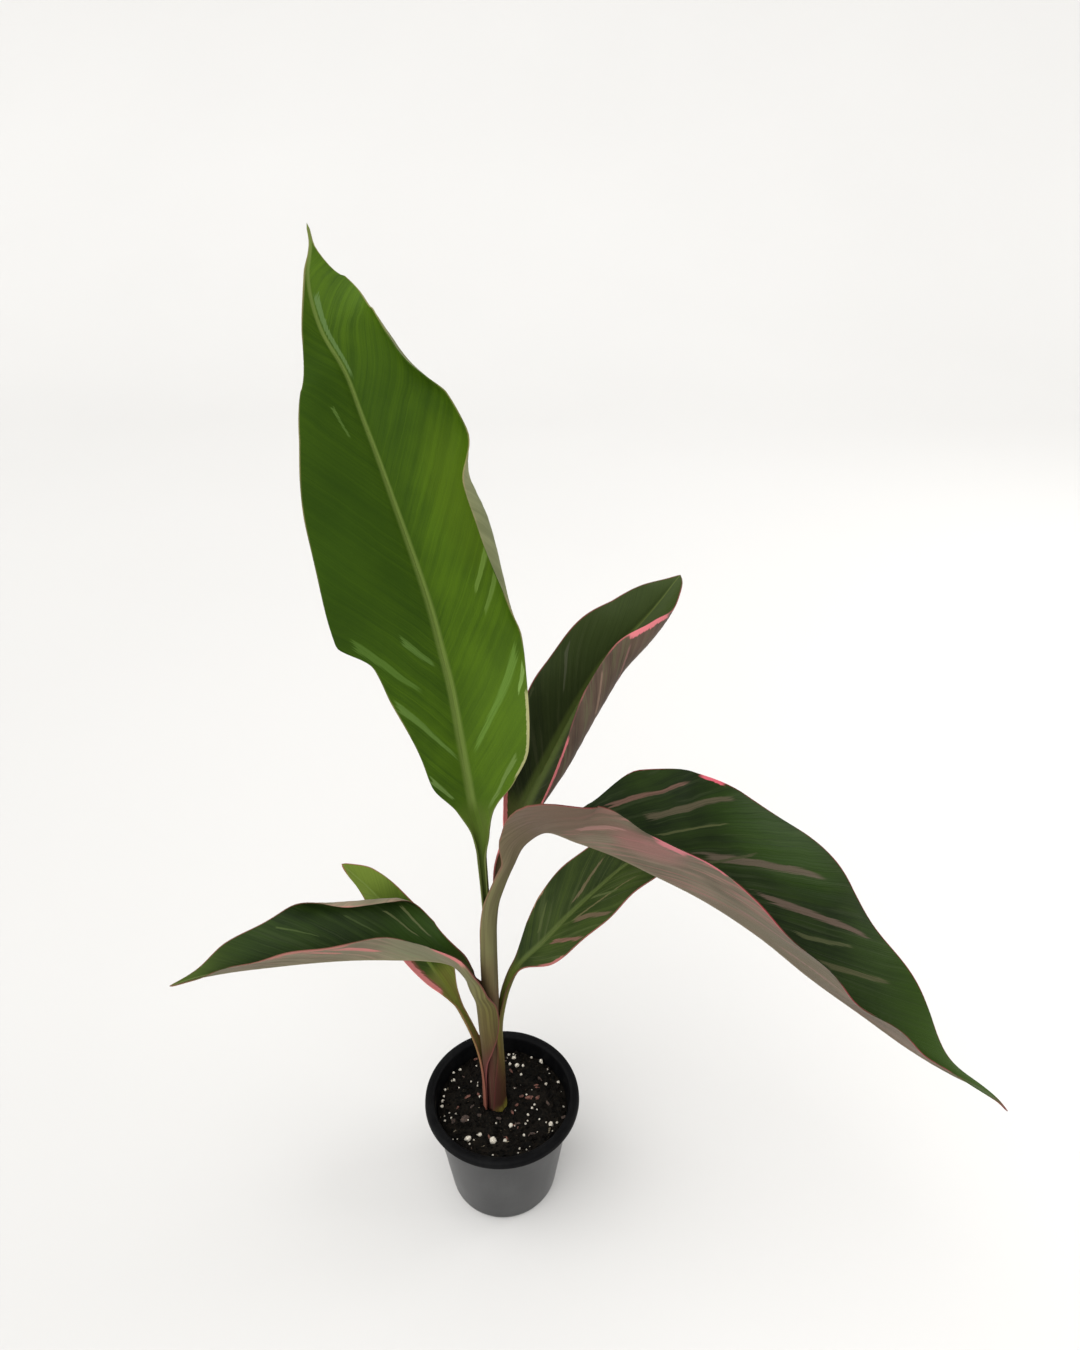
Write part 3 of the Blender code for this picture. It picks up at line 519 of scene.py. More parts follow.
archingLeaf = {
    "name": "archingLeaf", "node": "leaf_arching", "slot": "dark_leaf",
    "places": [
        wrapped(stem["foot"], -30, 4.3, 150, 150, 1.3),
        wrapped(200, -30, 4.3, 150, 150, 1.3),
        wrapped(222, -30, 4.3, 130, 130, 1.3),
        place((-1.5, -3.0, 243), (-0.87, 0.5, 0), (9, 9), curl=(110, 110), thick=(1.4, 1.3)),
        place((0.2, -4.2, 260), (-0.87, 0.5, 0.1), (8.2, 8.2), curl=(100, 100), thick=(1.6, 1.4)),
        place((3.8, -6.2, 275), (-0.85, 0.45, 0.2), (7.6, 7.6), curl=(90, 90), thick=(1.8, 1.5)),
        place((9.5, -7.5, 293), (-0.8, 0.3, 0.4), (7.5, 7.5), curl=(85, 85), thick=(2.0, 1.5)),
        place((17, -9, 311), (-0.6, 0.1, 0.8), (8, 17), fold=(5, 48), curl=(85, 32), thick=(2.2, 1.3)),
        place((28, -10, 320), (-0.2, -0.1, 1), (9, 30), fold=(20, 62), curl=(40, 20), thick=(2.2, 0.9)),
        place((46, -13, 315.5), (0.2, 0, 1), (21, 44.5), fold=(45, 64), curl=(-10, 0)),
        place((66, -15, 308), (0.3, 0, 1), (52, 50), fold=(50, 58), curl=(-20, -5)),
        place((90, -18, 296), (0.4, 0, 1), (64, 51), fold=(50, 57), curl=(-20, -5)),
        place((116, -20, 281), (0.5, 0, 1), (64.5, 51), fold=(55, 49), curl=(-20, -5)),
        place((150, -23, 256), (0.6, 0, 1), (69, 45), fold=(55, 41), curl=(-20, -4)),
        place((186, -26, 223), (0.7, 0, 1), (58, 37), fold=(55, 37), curl=(-20, -4)),
        place((220, -29, 195), (0.7, 0, 1), (46, 28), fold=(50, 36), curl=(-10, 0)),
        place((252, -31, 168), (0.7, 0, 1), (26.5, 18), fold=(45, 36)),
        place((281, -34, 148), (0.6, 0, 1), (8, 6), fold=(30, 30), thick=(1.2, 0.7)),
        place((300, -36, 137), (0.6, 0, 1), (3, 3), fold=(10, 10), thick=(0.9, 0.7)),
        place((312, -37, 127), (0.6, 0, 1), (1.2, 1.2), thick=(0.8, 0.7)),
        place((320, -38, 118), (0.6, 0, 1), (0.5, 0.5), thick=(0.7, 0.7)),
    ],
    "bladeFrom": 8, "rowEvery": 2.4, "halfSteps": 22, "thin": 0.8,
    "waves": [(-1, 2.5, 4.0, 0.3), (1, 1.5, 5.0, 0.0)],
    "veinLean": 0.9, "veinTurn": 0.02, "pleat": 0.32, "pleatEvery": 10.0, "channel": 0.7, "ribHalf": 1.8,
    "streaks": {
        "upper": [
            (-23.0, 29.0, -58.5, 69.0, 3.4, (94, 70, 60)),
            (-26.0, 50.0, -59.5, 94.0, 5.0, (72, 66, 50)),
            (-20.4, 90.3, -52.4, 162.5, 6.4, (82, 72, 60)),
            (-19.2, 134.1, -42.7, 214.8, 6.4, (86, 72, 62)),
            (-20.0, 60.0, -44.0, 96.0, 1.6, (66, 70, 42)),
            (-12.0, 84.0, -40.0, 118.0, 1.4, (60, 62, 40)),
            (-14.0, 164.0, -30.0, 204.0, 2.4, (66, 70, 44)),
            (-10.0, 190.0, -26.0, 240.0, 3.4, (70, 70, 46)),
        ],
        "under": [
            (14.0, 16.0, 38.0, 34.0, 4.0, (138, 106, 98)),
            (20.0, 110.0, 42.0, 146.0, 3.0, (124, 96, 88)),
            (10.0, 150.0, 34.0, 188.0, 2.6, (126, 102, 92)),
            (8.0, 200.0, 24.0, 232.0, 2.0, (120, 98, 84)),
        ],
    },
    "upper": {"dark": (15, 24, 8), "light": (33, 47, 14), "rib": (56, 64, 32), "ribLight": (66, 74, 40),
              "ribFoot": 2.0, "ribTip": 0.5, "edge": (118, 44, 50), "edgeWide": 0.7, "edgeRag": 0.4, "rough": 0.36,
              "tipFrom": (0.72, 1.0), "tipColour": (48, 70, 18), "veil": (48, 56, 34), "veilShow": 0.4,
              "blush": [(-52, 130, 26, 60, 0.6, (42, 64, 14))], "margins": [(-1, 72, 88, 2.2, (186, 84, 96))]},
    "under": {"dark": (84, 76, 62), "light": (118, 108, 92), "rib": (108, 98, 78), "ribLight": (118, 108, 90),
              "ribFoot": 2.4, "ribTip": 0.6, "edge": (150, 78, 80), "edgeWide": 0.8, "edgeRag": 0.7, "rough": 0.55,
              "tipFrom": (0.88, 0.99), "tipColour": (80, 84, 38), "veil": (136, 100, 92), "veilShow": 0.8,
              "blush": [(30, 48, 20, 26, 0.7, (138, 96, 92)), (30, 8, 34, 28, 0.8, (98, 80, 68)),
                        (20, 150, 30, 70, 0.6, (90, 86, 66))],
              "margins": [(1, 42, 84, 2.2, (190, 104, 112)), (1, 46, 64, 7.5, (188, 112, 118)),
                          (1, 84, 124, 1.4, (160, 84, 86))]},
    "stalk": {"upper": [(0.0, (92, 84, 62)), (0.8, (92, 86, 60)), (1.0, (84, 72, 56))],
              "under": [(0.0, (66, 40, 34)), (0.3, (72, 48, 38)), (0.45, (96, 78, 54)), (0.6, (102, 100, 66)),
                        (0.8, (100, 97, 66)), (0.95, (102, 90, 72)), (1.0, (106, 91, 80))],
              "strand": (78, 70, 50), "hem": (124, 82, 70), "hemShow": 0.5, "flush": (78, 40, 40)},
}

lowFace = (-0.4, -0.3, 0.9)
lowRightLeaf = {
    "name": "lowRightLeaf", "node": "leaf_low_right", "slot": "lower_leaf",
    "places": [
        wrapped(stem["foot"], 10, 6.0, 150, 124, 0.9),
        wrapped(74, 10, 6.3, 150, 120, 1.2),  # a little swollen just above the soil
        wrapped(82, 10, 6.0, 148, 114, 0.9),
        wrapped(98, 10, 6.0, 145, 104, 0.9),
        wrapped(118, 10, 6.0, 130, 86, 0.9),
        wrapped(135, 10, 6.0, 82, 72, 0.9),
        place((0.8, 0.9, 150), (-1, -0.15, 0.1), (4.5, 8), curl=(42, 76), thick=(1.1, 1.0)),
        place((2.5, 2.2, 166), (-1, -0.15, 0.2), (5.2, 5.2), curl=(75, 75), thick=(1.5, 1.1)),
        place((6.0, 4.5, 182), (-0.8, -0.2, 0.5), (4.5, 4.5), curl=(90, 90), thick=(1.8, 1.2)),
        place((11.6, 8, 195), (-0.5, -0.2, 0.8), (4.8, 6), fold=(15, 15), curl=(40, 40), thick=(2.0, 1.0)),
        place((28, 14, 212), lowFace, (15.5, 21.5), fold=(35, 12), curl=(0, 10)),
        place((42, 20, 226), lowFace, (22.3, 25.5), fold=(40, 15)),
        place((60, 28, 241), lowFace, (24, 26), fold=(42, 15)),
        place((80, 35, 257), lowFace, (22.5, 24), fold=(38, 12)),
        place((104, 41, 268), (-0.1, -0.3, 1), (16, 17), fold=(25, 15)),
        place((122, 45, 273), (0, -0.3, 1), (5, 5), thick=(1.0, 0.7)),
        place((129, 47, 274), (0, -0.3, 1), (0.5, 0.5), thick=(0.7, 0.7)),
    ],
    "bladeFrom": 9, "rowEvery": 2.0, "halfSteps": 18, "thin": 0.8,
    "waves": [(-1, 1.2, 3.0, 0.0), (1, 1.5, 3.0, 0.4)],
    "veinLean": 1.2, "veinTurn": 0.02, "pleat": 0.22, "pleatEvery": 7.0, "channel": 0.5, "ribHalf": 1.3,
    "streaks": {"upper": [
        (-4.1, 57.6, -12.2, 88.8, 3.4, (98, 88, 64)),
        (6.5, 49.3, 14.3, 100.0, 1.4, (92, 88, 58)),
        (6.4, 29.5, 24.6, 48.3, 2.8, (110, 80, 68)),
        (7.5, 49.3, 24.5, 72.2, 3.4, (92, 78, 60)),
        (-21.1, 35.5, -24.0, 52.4, 3.4, (152, 120, 96)),
        (-6.0, 26.0, -16.0, 44.0, 1.8, (70, 80, 42)),
        (3.0, 66.0, 14.0, 84.0, 1.6, (74, 84, 48)),
    ]},
    "upper": {"dark": (30, 42, 15), "light": (56, 70, 27), "rib": (74, 88, 42), "ribLight": (86, 98, 52),
              "ribFoot": 2.4, "ribTip": 0.6, "ribShow": 0.8, "edge": (140, 84, 78), "edgeWide": 0.7, "edgeRag": 0.6,
              "rough": 0.4, "veil": (74, 82, 50), "veilShow": 0.35, "margins": [(1, 14, 34, 2.0, (158, 96, 92))]},
    "under": {"dark": (80, 70, 58), "light": (106, 92, 76), "rib": (100, 96, 64), "ribLight": (110, 106, 74),
              "ribFoot": 2.0, "ribTip": 0.6, "edge": (160, 92, 90), "edgeWide": 1.0, "edgeRag": 0.9, "rough": 0.55},
    "stalk": {"upper": [(0.0, (76, 68, 36)), (0.6, (88, 96, 40)), (0.8, (100, 112, 44)), (1.0, (78, 92, 34))],
              "under": [(0.0, (98, 92, 34)), (0.1, (104, 98, 40)), (0.15, (62, 40, 27)), (0.3, (62, 44, 28)), (0.5, (88, 80, 36)),
                        (0.75, (98, 96, 40)), (1.0, (76, 90, 30))],
              "strand": (58, 42, 26), "hem": (84, 44, 42), "hemShow": 0.6, "flush": (62, 34, 32)},
}

leftLeaf = {
    "name": "leftLeaf", "node": "leaf_left", "slot": "lower_leaf",
    "places": [
        wrapped(stem["foot"], 190, 7.3, 20, 140, 0.9),
        wrapped(100, 190, 7.3, 30, 140, 0.9),
        wrapped(120, 190, 7.3, 48, 140, 0.9),
        wrapped(136, 190, 7.3, 84, 128, 0.9),
        wrapped(148, 190, 7.7, 108, 116, 0.9),
        wrapped(163, 190, 8.0, 120, 100, 0.9),
        place((-14.2, -2.2, 177), (0.97, 0.17, 0.1), (16, 12), curl=(114, 88), thick=(1.3, 1.1)),
        place((-16.8, -4.3, 190), (0.8, 0.1, 0.4), (14.5, 8.5), curl=(92, 58), thick=(1.9, 1.3)),
        place((-19.5, -6, 203), (0.6, 0, 0.8), (12, 6.5), fold=(10, 10), curl=(80, 60), thick=(2.2, 1.3)),
        place((-27, -5, 212), (0.1, 0, 1), (13, 9), fold=(40, 30), curl=(45, 50), thick=(2.2, 0.9)),
        place((-42, -4, 215), (0, 0, 1), (23, 23), fold=(66, 50)),
        place((-62, -3, 215), (0, 0, 1), (28.5, 43.5), fold=(71, 50), lip=(0, 150)),
        place((-86, -3, 215), (-0.1, 0, 1), (27.5, 44), fold=(64, 50), lip=(0, 175)),
        place((-110, -3, 213), (-0.1, 0, 1), (25.5, 38), fold=(60, 50), lip=(0, 90)),
        place((-138, -3, 209), (-0.1, 0, 1), (20.5, 28.5), fold=(56, 50)),
        place((-166, -3, 204), (-0.2, 0, 1), (11, 16.5), fold=(50, 50), thick=(1.4, 0.7)),
        place((-188, -3, 198), (-0.2, 0, 1), (4, 5), fold=(30, 30), thick=(1.0, 0.7)),
        place((-205, -3, 191), (-0.2, 0, 1), (0.5, 0.5), thick=(0.7, 0.7)),
    ],
    "bladeFrom": 9, "rowEvery": 2.2, "halfSteps": 20, "thin": 0.8,
    "waves": [(-1, 1.0, 4.0, 0.2), (1, 1.2, 3.5, 0.5)],
    "veinLean": 1.2, "veinTurn": 0.012, "pleat": 0.25, "pleatEvery": 8.0, "channel": 0.5, "ribHalf": 1.6,
    "streaks": {
        "upper": [
            (28.2, 44.2, 12.5, 21.2, 1.6, (84, 90, 56)),
            (31.2, 32.8, 12.8, 15.5, 1.6, (86, 92, 58)),
            (22.6, 109.0, 13.9, 81.3, 1.6, (60, 74, 36)),
            (26.0, 66.0, 14.0, 46.0, 1.4, (56, 70, 34)),
        ],
        "under": [
            (-22.0, 66.0, -10.0, 44.0, 7.0, (184, 118, 112)),
            (-21.0, 84.0, -12.0, 66.0, 5.0, (170, 116, 106)),
            (-10.0, 80.0, -22.0, 118.0, 2.4, (140, 112, 96)),
            (-4.0, 22.0, -20.0, 44.0, 2.4, (112, 116, 88)),
        ],
    },
    "upper": {"dark": (18, 30, 8), "light": (37, 53, 16), "rib": (70, 84, 38), "ribLight": (82, 94, 48),
              "ribFoot": 2.2, "ribTip": 0.5, "edge": (116, 70, 60), "edgeWide": 0.7, "edgeRag": 0.5, "rough": 0.38,
              "tipFrom": (0.84, 1.0), "tipColour": (56, 72, 16), "veil": (50, 62, 32), "veilShow": 0.35,
              "blush": [(12, 20, 26, 34, 0.6, (44, 66, 20))]},
    "under": {"dark": (98, 92, 74), "light": (132, 124, 102), "rib": (118, 112, 84), "ribLight": (130, 124, 96),
              "ribFoot": 2.4, "ribTip": 0.6, "edge": (172, 104, 98), "edgeWide": 1.1, "edgeRag": 1.0, "rough": 0.55,
              "tipFrom": (0.86, 0.98), "tipColour": (84, 90, 36), "veil": (146, 120, 104), "veilShow": 0.5,
              "blush": [(-12, 22, 26, 26, 0.6, (108, 112, 84))], "margins": [(-1, -4, 14, 3.2, (184, 110, 108)), (-1, 58, 108, 3.6, (168, 110, 100))]},
    "stalk": {"upper": [(0.0, (90, 74, 52)), (0.7, (78, 74, 42)), (0.92, (66, 74, 34)), (1.0, (46, 64, 22))],
              "under": [(0.0, (52, 34, 26)), (0.16, (56, 33, 29)), (0.4, (64, 45, 32)), (0.55, (82, 70, 42)),
                        (0.75, (96, 90, 50)), (0.9, (106, 104, 66)), (1.0, (108, 106, 80))],
              "strand": (60, 50, 32), "hem": (108, 60, 58), "hemShow": 0.8, "flush": (78, 42, 42)},
}

smallFace = (0.5, -0.5, 0.8)
smallLeaf = {
    "name": "smallLeaf", "node": "leaf_small", "slot": "small_leaf",
    "places": [
        wrapped(stem["foot"], 160, 8.6, 60, 60, 0.8),
        wrapped(88, 160, 8.6, 60, 60, 0.8),
        wrapped(104, 160, 8.6, 55, 55, 0.8),
        place((-18.8, 5.5, 136), (1, -0.2, 0.2), (4, 4), curl=(70, 70), thick=(1.4, 1.0)),
        place((-26.3, 9, 155), (0.9, -0.3, 0.4), (3, 3), curl=(90, 90), thick=(1.8, 1.2)),
        place((-31.5, 13, 164), (0.7, -0.3, 0.6), (7, 5), fold=(10, 10), curl=(40, 50), thick=(2.0, 1.0)),
        place((-42.5, 20, 179), smallFace, (13, 14), fold=(20, 20), curl=(10, 10)),
        place((-56, 27, 198), smallFace, (17, 17), fold=(25, 25)),
        place((-73, 35, 222), smallFace, (13.5, 13.5), fold=(25, 20)),
        place((-87, 40, 237), smallFace, (6.5, 11), fold=(20, 15)),
        place((-97, 43, 246), smallFace, (2.5, 4), fold=(20, 10), thick=(1.0, 0.7)),
        place((-100, 44, 249), smallFace, (0.5, 0.5), thick=(0.7, 0.7)),
    ],
    "bladeFrom": 6, "rowEvery": 1.8, "halfSteps": 16, "thin": 0.8,
    "waves": [(-1, 0.8, 2.5, 0.1), (1, 0.8, 2.5, 0.6)],
    "veinLean": 1.3, "veinTurn": 0.01, "pleat": 0.18, "pleatEvery": 6.0, "channel": 0.45, "ribHalf": 1.2,
    "streaks": {
        "upper": [(-4.0, 30.0, -14.0, 46.0, 1.6, (96, 112, 46)), (4.0, 34.0, 12.0, 48.0, 1.4, (90, 108, 44))],
        "under": [(-10.0, 16.0, -16.0, 40.0, 2.0, (176, 120, 104))],
    },
    "upper": {"dark": (37, 54, 14), "light": (64, 84, 20), "rib": (92, 110, 46), "ribLight": (104, 122, 56),
              "blush": [(-13, 6, 6, 22, 0.6, (84, 62, 40))], "margins": [(-1, -14, 26, 6.5, (112, 74, 58)), (-1, -14, 30, 4.5, (196, 116, 114))],
              "ribFoot": 1.5, "ribTip": 0.4, "edge": (140, 78, 74), "edgeWide": 0.9, "edgeRag": 0.7, "rough": 0.4,
              "tipFrom": (0.7, 0.9), "tipColour": (96, 114, 42)},
    "under": {"dark": (84, 86, 46), "light": (108, 108, 64), "rib": (108, 112, 64), "ribLight": (118, 122, 74),
              "ribFoot": 1.5, "ribTip": 0.5, "edge": (150, 84, 80), "edgeWide": 0.9, "edgeRag": 0.7, "rough": 0.55},
    "stalk": {"upper": [(0.0, (104, 72, 54)), (0.5, (98, 94, 38)), (1.0, (100, 110, 44))],
              "under": [(0.0, (74, 50, 40)), (0.3, (100, 70, 54)), (0.5, (108, 100, 44)), (0.75, (98, 102, 32)),
                        (1.0, (96, 106, 40))],
              "strand": (84, 62, 38), "hem": (140, 90, 74), "hemShow": 0.4, "flush": (120, 70, 62)},
}

leaves = [growLeaf(leaf) for leaf in (uprightLeaf, backLeaf, archingLeaf, lowRightLeaf, leftLeaf, smallLeaf)]


# Pot

pot = {
    "sides": 160,
    "drains": {"count": 6, "radius": 3.5, "ring": 25.0},
    # radius and height of each ring, from the middle of the inside floor round to the underside
    "rings": [
        (4.0, 1.4), (20.0, 1.4), (33.6, 1.4), (35.0, 1.7), (35.7, 2.6), (35.95, 4.0), (40.0, 34.0), (43.9, 64.0),
        (45.6, 81.0), (45.85, 82.7), (46.2, 83.5), (46.9, 84.1), (47.8, 84.4), (49.0, 84.5), (50.3, 84.35),
        (51.3, 84.0), (51.95, 83.4), (52.25, 82.5), (52.45, 81.0), (52.5, 80.2), (52.3, 79.9), (51.8, 79.9),
        (51.55, 80.2), (51.3, 82.0), (50.8, 82.7), (49.8, 83.0), (48.4, 82.95), (47.5, 82.5), (46.95, 81.5),
        (46.7, 79.5), (45.6, 70.0), (42.6, 45.0), (39.3, 20.0), (37.1, 3.4), (36.8, 1.8), (36.3, 0.7), (35.4, 0.1),
        (34.4, 0.0), (20.0, 0.0), (4.0, 0.0),
    ],
    # The body's grey is partly real dust and partly painted light: a pale reflection painted into a lighter, dustier
    # copy of the black plastic. The lip and inside use a darker copy with little of it, which is painted shade.
    "dustAndSheen": (66, 67, 66),
    "body": {"colour": (20, 21, 22), "rough": 0.34, "gloss": 0.45, "dustAndSheenShare": 0.3},
    "rim": {"colour": (6, 6, 7), "rough": 0.5, "gloss": 0.05, "dustAndSheenShare": 0.06},  # lip and inside
}


def turnRings(name, rings, sides):  # a circle drawn out and resized ring by ring
    dropSelection()
    radius, height = rings[0]
    bpy.ops.mesh.primitive_circle_add(
        vertices=sides, radius=radius * mm, location=(0, 0, height * mm), fill_type="NGON"
    )
    piece = bpy.context.object
    piece.name = piece.data.name = name
    bpy.ops.object.transform_apply(location=True)
    bpy.ops.object.mode_set(mode="EDIT")
    bpy.ops.mesh.select_mode(type="EDGE")
    bpy.ops.mesh.select_all(action="SELECT")
    bpy.ops.mesh.region_to_loop()
    for (radius, height), (nextRadius, nextHeight) in zip(rings, rings[1:]):
        rise = (0.0, 0.0, (nextHeight - height) * mm)
        bpy.ops.mesh.extrude_edges_move(TRANSFORM_OT_translate={"value": rise})
        grow = nextRadius / radius
        bpy.ops.transform.resize(value=(grow, grow, 1.0), center_override=(0.0, 0.0, nextHeight * mm))
    bpy.ops.mesh.edge_face_add()
    bpy.ops.mesh.select_all(action="SELECT")
    bpy.ops.mesh.normals_make_consistent(inside=False)
    bpy.ops.object.mode_set(mode="OBJECT")
    return piece


def potFinish(name, part):
    finish = Finish(name)
    place = finish.place()
    skin = finish.noise(place, 900.0, 2.0)
    upright = finish.node("VectorMath", {"operation": "MULTIPLY"}, {0: place, 1: (260.0, 260.0, 18.0)})
    scuff = finish.noise(upright, 1.0, 4.0, 0.65)
    cloud = finish.noise(place, 38.0, 3.0)
    # pale patches on the plastic: partly real dust, partly a painted sheen that greys the body; each part sets its own
    # share
    dustAndSheenShare = finish.between(scuff * 0.4 + cloud * 0.6, 0.4, 0.66) * part["dustAndSheenShare"]
    colour = finish.mix(dustAndSheenShare, screenColour(*part["colour"]), screenColour(*pot["dustAndSheen"]))
    rough = part["rough"] + (scuff - 0.5) * 0.1
    relief = finish.bump(skin * 0.5 + scuff * 0.3, 0.04 * mm)
    return finish.set(colour=colour, rough=rough, normal=relief, specular=part["gloss"])


def makePot():
    piece = turnRings("nurseryPot", pot["rings"], pot["sides"])
    drains = pot["drains"]
    for index in range(drains["count"]):
        turn = 2 * math.pi * index / drains["count"]
        ring = drains["ring"] * mm
        dropSelection()
        bpy.ops.mesh.primitive_cylinder_add(
            vertices=32, radius=drains["radius"] * mm, depth=8 * mm,
            location=(ring * math.cos(turn), ring * math.sin(turn), 0.0),
        )
        drill = bpy.context.object
        hole = piece.modifiers.new("drain", "BOOLEAN")
        hole.object = drill
        pickOnly(piece)
        bpy.ops.object.modifier_apply(modifier=hole.name)
        bpy.data.objects.remove(drill, do_unlink=True)
    piece.data.materials.append(potFinish("blackPotPlasticDustAndSheen", pot["body"]))
    piece.data.materials.append(potFinish("blackPotRimPaintedShade", pot["rim"]))
    # the lip, the inward faces and the upward inside faces take the darker copy of the plastic: painted shade
    for face in piece.data.polygons:
        inward = face.normal.x * face.center.x + face.normal.y * face.center.y < 0
        if face.center.z > 79.7 * mm or inward or (face.normal.z > 0.5 and face.center.z > mm):
            face.material_index = 1
    pickOnly(piece)
    bpy.ops.object.shade_smooth_by_angle(angle=math.radians(40))
    settle(piece, "pot_plastic", "pot")
    print("turned the pot", len(piece.data.polygons), "faces")


makePot()


# Soil

soil = {
    "level": 72.0, "sides": 256, "rings": 64,
    "dark": (4, 4, 3), "light": (25, 21, 16), "crumb": (18, 14, 11), "fleck": (84, 72, 58),
}


def stemHole(turn):  # how far the stem reaches at its foot, wider where more sheaths lie round it
    degrees = math.degrees(turn) % 360
    reach = 7.1
    for low, high, more in ((45, 215, 1.3), (96, 224, 1.25)):
        inside = min(degrees - low, high - degrees) / 10 + 0.5
        reach += more * min(1.0, max(0.0, inside))
    return reach


def soilHeight(x, y):  # in mm over the level
    at = Vector((x, y, 3.7))
    height = 1.3 * noise.noise(at / 11.0) + 0.9 * noise.noise(at / 4.5) + 0.5 * noise.noise(at / 1.9)
    clod = noise.voronoi(at / 3.4)[0][0]
    crumb = noise.voronoi(at / 1.5)[0][0]
    height += 1.1 * max(0.0, 0.55 - clod) + 0.5 * max(0.0, 0.5 - crumb)
    fromStem = math.hypot(x - stem["x"], y - stem["y"])
    return height + 1.4 * math.exp(-(((fromStem - 9.0) / 5.0) ** 2))


def edgeRadius(height):  # just inside the pot's wall
    return 35.95 + (height - 4.0) * (45.6 - 35.95) / 77.0 - 0.25


def soilFinish(name, dark, light, size):
    finish = Finish(name)
    place = finish.place()
    fine = finish.noise(place, size, 4.0, 0.65)
    broad = finish.noise(place, size / 6, 3.0)
    speck = finish.noise(place, size * 1.7, 1.0)
    shade = finish.between(fine * 0.7 + broad * 0.3, 0.38, 0.68)
    colour = finish.mix(shade, screenColour(*dark), screenColour(*light))
    colour = finish.mix(finish.between(speck, 0.72, 0.76) * 0.6, colour, screenColour(*soil["fleck"]))
    rough = 0.75 + (fine - 0.5) * 0.4
    return finish.set(colour=colour, rough=rough, normal=finish.bump(fine, 0.35 * mm), specular=0.06)


def makeSoil():
    # kind of ring, its share outwards and its height, from the bottom of the stem's hole round to the floor
    rings = [("hole", 0.2, 34.2), ("hole", 1.0, 34.2), ("hole", 1.0, 50.0), ("hole", 1.0, 66.0)]
    rings += [("top", step / soil["rings"], soil["level"]) for step in range(soil["rings"] + 1)]
    rings += [("side", 1.0, 66.0), ("side", 1.0, 36.0), ("side", 1.0, 4.2), ("floor", 0.94, 1.8), ("floor", 0.1, 1.8)]
    piece = turnRings("pottingSoil", [(1.0 + 0.5 * index, 10.0 + index) for index in range(len(rings))], soil["sides"])
    mesh = piece.data
    spots = np.empty(len(mesh.vertices) * 3)
    mesh.vertices.foreach_get("co", spots)
    made = []
    for x, y, z in spots.reshape(-1, 3) / mm:
        kind, share, height = rings[round(z - 10.0)]
        turn = math.atan2(y, x)
        hole = stemHole(turn)
        if kind == "hole":
            made.append((stem["x"] + hole * share * math.cos(turn), stem["y"] + hole * share * math.sin(turn), height))
            continue
        rim = edgeRadius(height) * (share if kind == "floor" else 1.0)
        outer = (rim * math.cos(turn), rim * math.sin(turn))
        if kind != "top":
            made.append((outer[0], outer[1], height))
            continue
        innerX, innerY = stem["x"] + hole * math.cos(turn), stem["y"] + hole * math.sin(turn)
        hereX = innerX + (outer[0] - innerX) * share
        hereY = innerY + (outer[1] - innerY) * share
        sunk = 0.6 * max(0.0, share - 0.9) * 10
        made.append((hereX, hereY, height + soilHeight(hereX, hereY) - sunk))
    mesh.vertices.foreach_set("co", (np.array(made) * mm).ravel())
    mesh.update()
    mesh.materials.append(soilFinish("pottingSoil", soil["dark"], soil["light"], 700.0))
    pickOnly(piece)
    bpy.ops.object.mode_set(mode="EDIT")
    bpy.ops.mesh.select_all(action="SELECT")
    bpy.ops.mesh.normals_make_consistent(inside=False)
    bpy.ops.object.mode_set(mode="OBJECT")
    bpy.ops.object.shade_smooth_by_angle(angle=math.radians(60))
    settle(piece, "potting_soil", "soil")
    print("filled the pot", len(mesh.polygons), "faces")


makeSoil()


def lump(name, rugged, seed, subdivisions):  # one grain, 2 units across
    dropSelection()
    bpy.ops.mesh.primitive_ico_sphere_add(subdivisions=subdivisions, radius=1.0)
    piece = bpy.context.object
    piece.name = name
    for vertex in piece.data.vertices:
        at = vertex.co + Vector((seed, 0, 0))
        vertex.co *= 1.0 + rugged * noise.noise(at * 1.3) + rugged * 0.6 * noise.noise(at * 2.9)
    return piece


def scatter(name, models, spots, finish, slot, angle=180.0):
    # each spot: model, x, y and z in mm, three sizes, three turns
    joined = bmesh.new()
    for model, x, y, z, sizes, turns in spots:
        first = len(joined.verts)
        joined.from_mesh(models[model].data)
        joined.verts.ensure_lookup_table()
        turned = Matrix.Rotation(turns[2], 4, "Z") @ Matrix.Rotation(turns[0], 4, "X") @ Matrix.Rotation(turns[1], 4, "Y")
        put = Matrix.Translation((x * mm, y * mm, z * mm)) @ turned @ Matrix.Diagonal((*[size * mm for size in sizes], 1.0))
        bmesh.ops.transform(joined, matrix=put, verts=joined.verts[first:])
    mesh = bpy.data.meshes.new(name)
    joined.to_mesh(mesh)
    joined.free()
    piece = bpy.data.objects.new(name, mesh)
    bpy.context.scene.collection.objects.link(piece)
    mesh.materials.append(finish)
    pickOnly(piece)
    bpy.ops.object.shade_smooth_by_angle(angle=math.radians(angle))
    settle(piece, slot)
    print("scattered", name, len(mesh.polygons), "faces")
    return piece


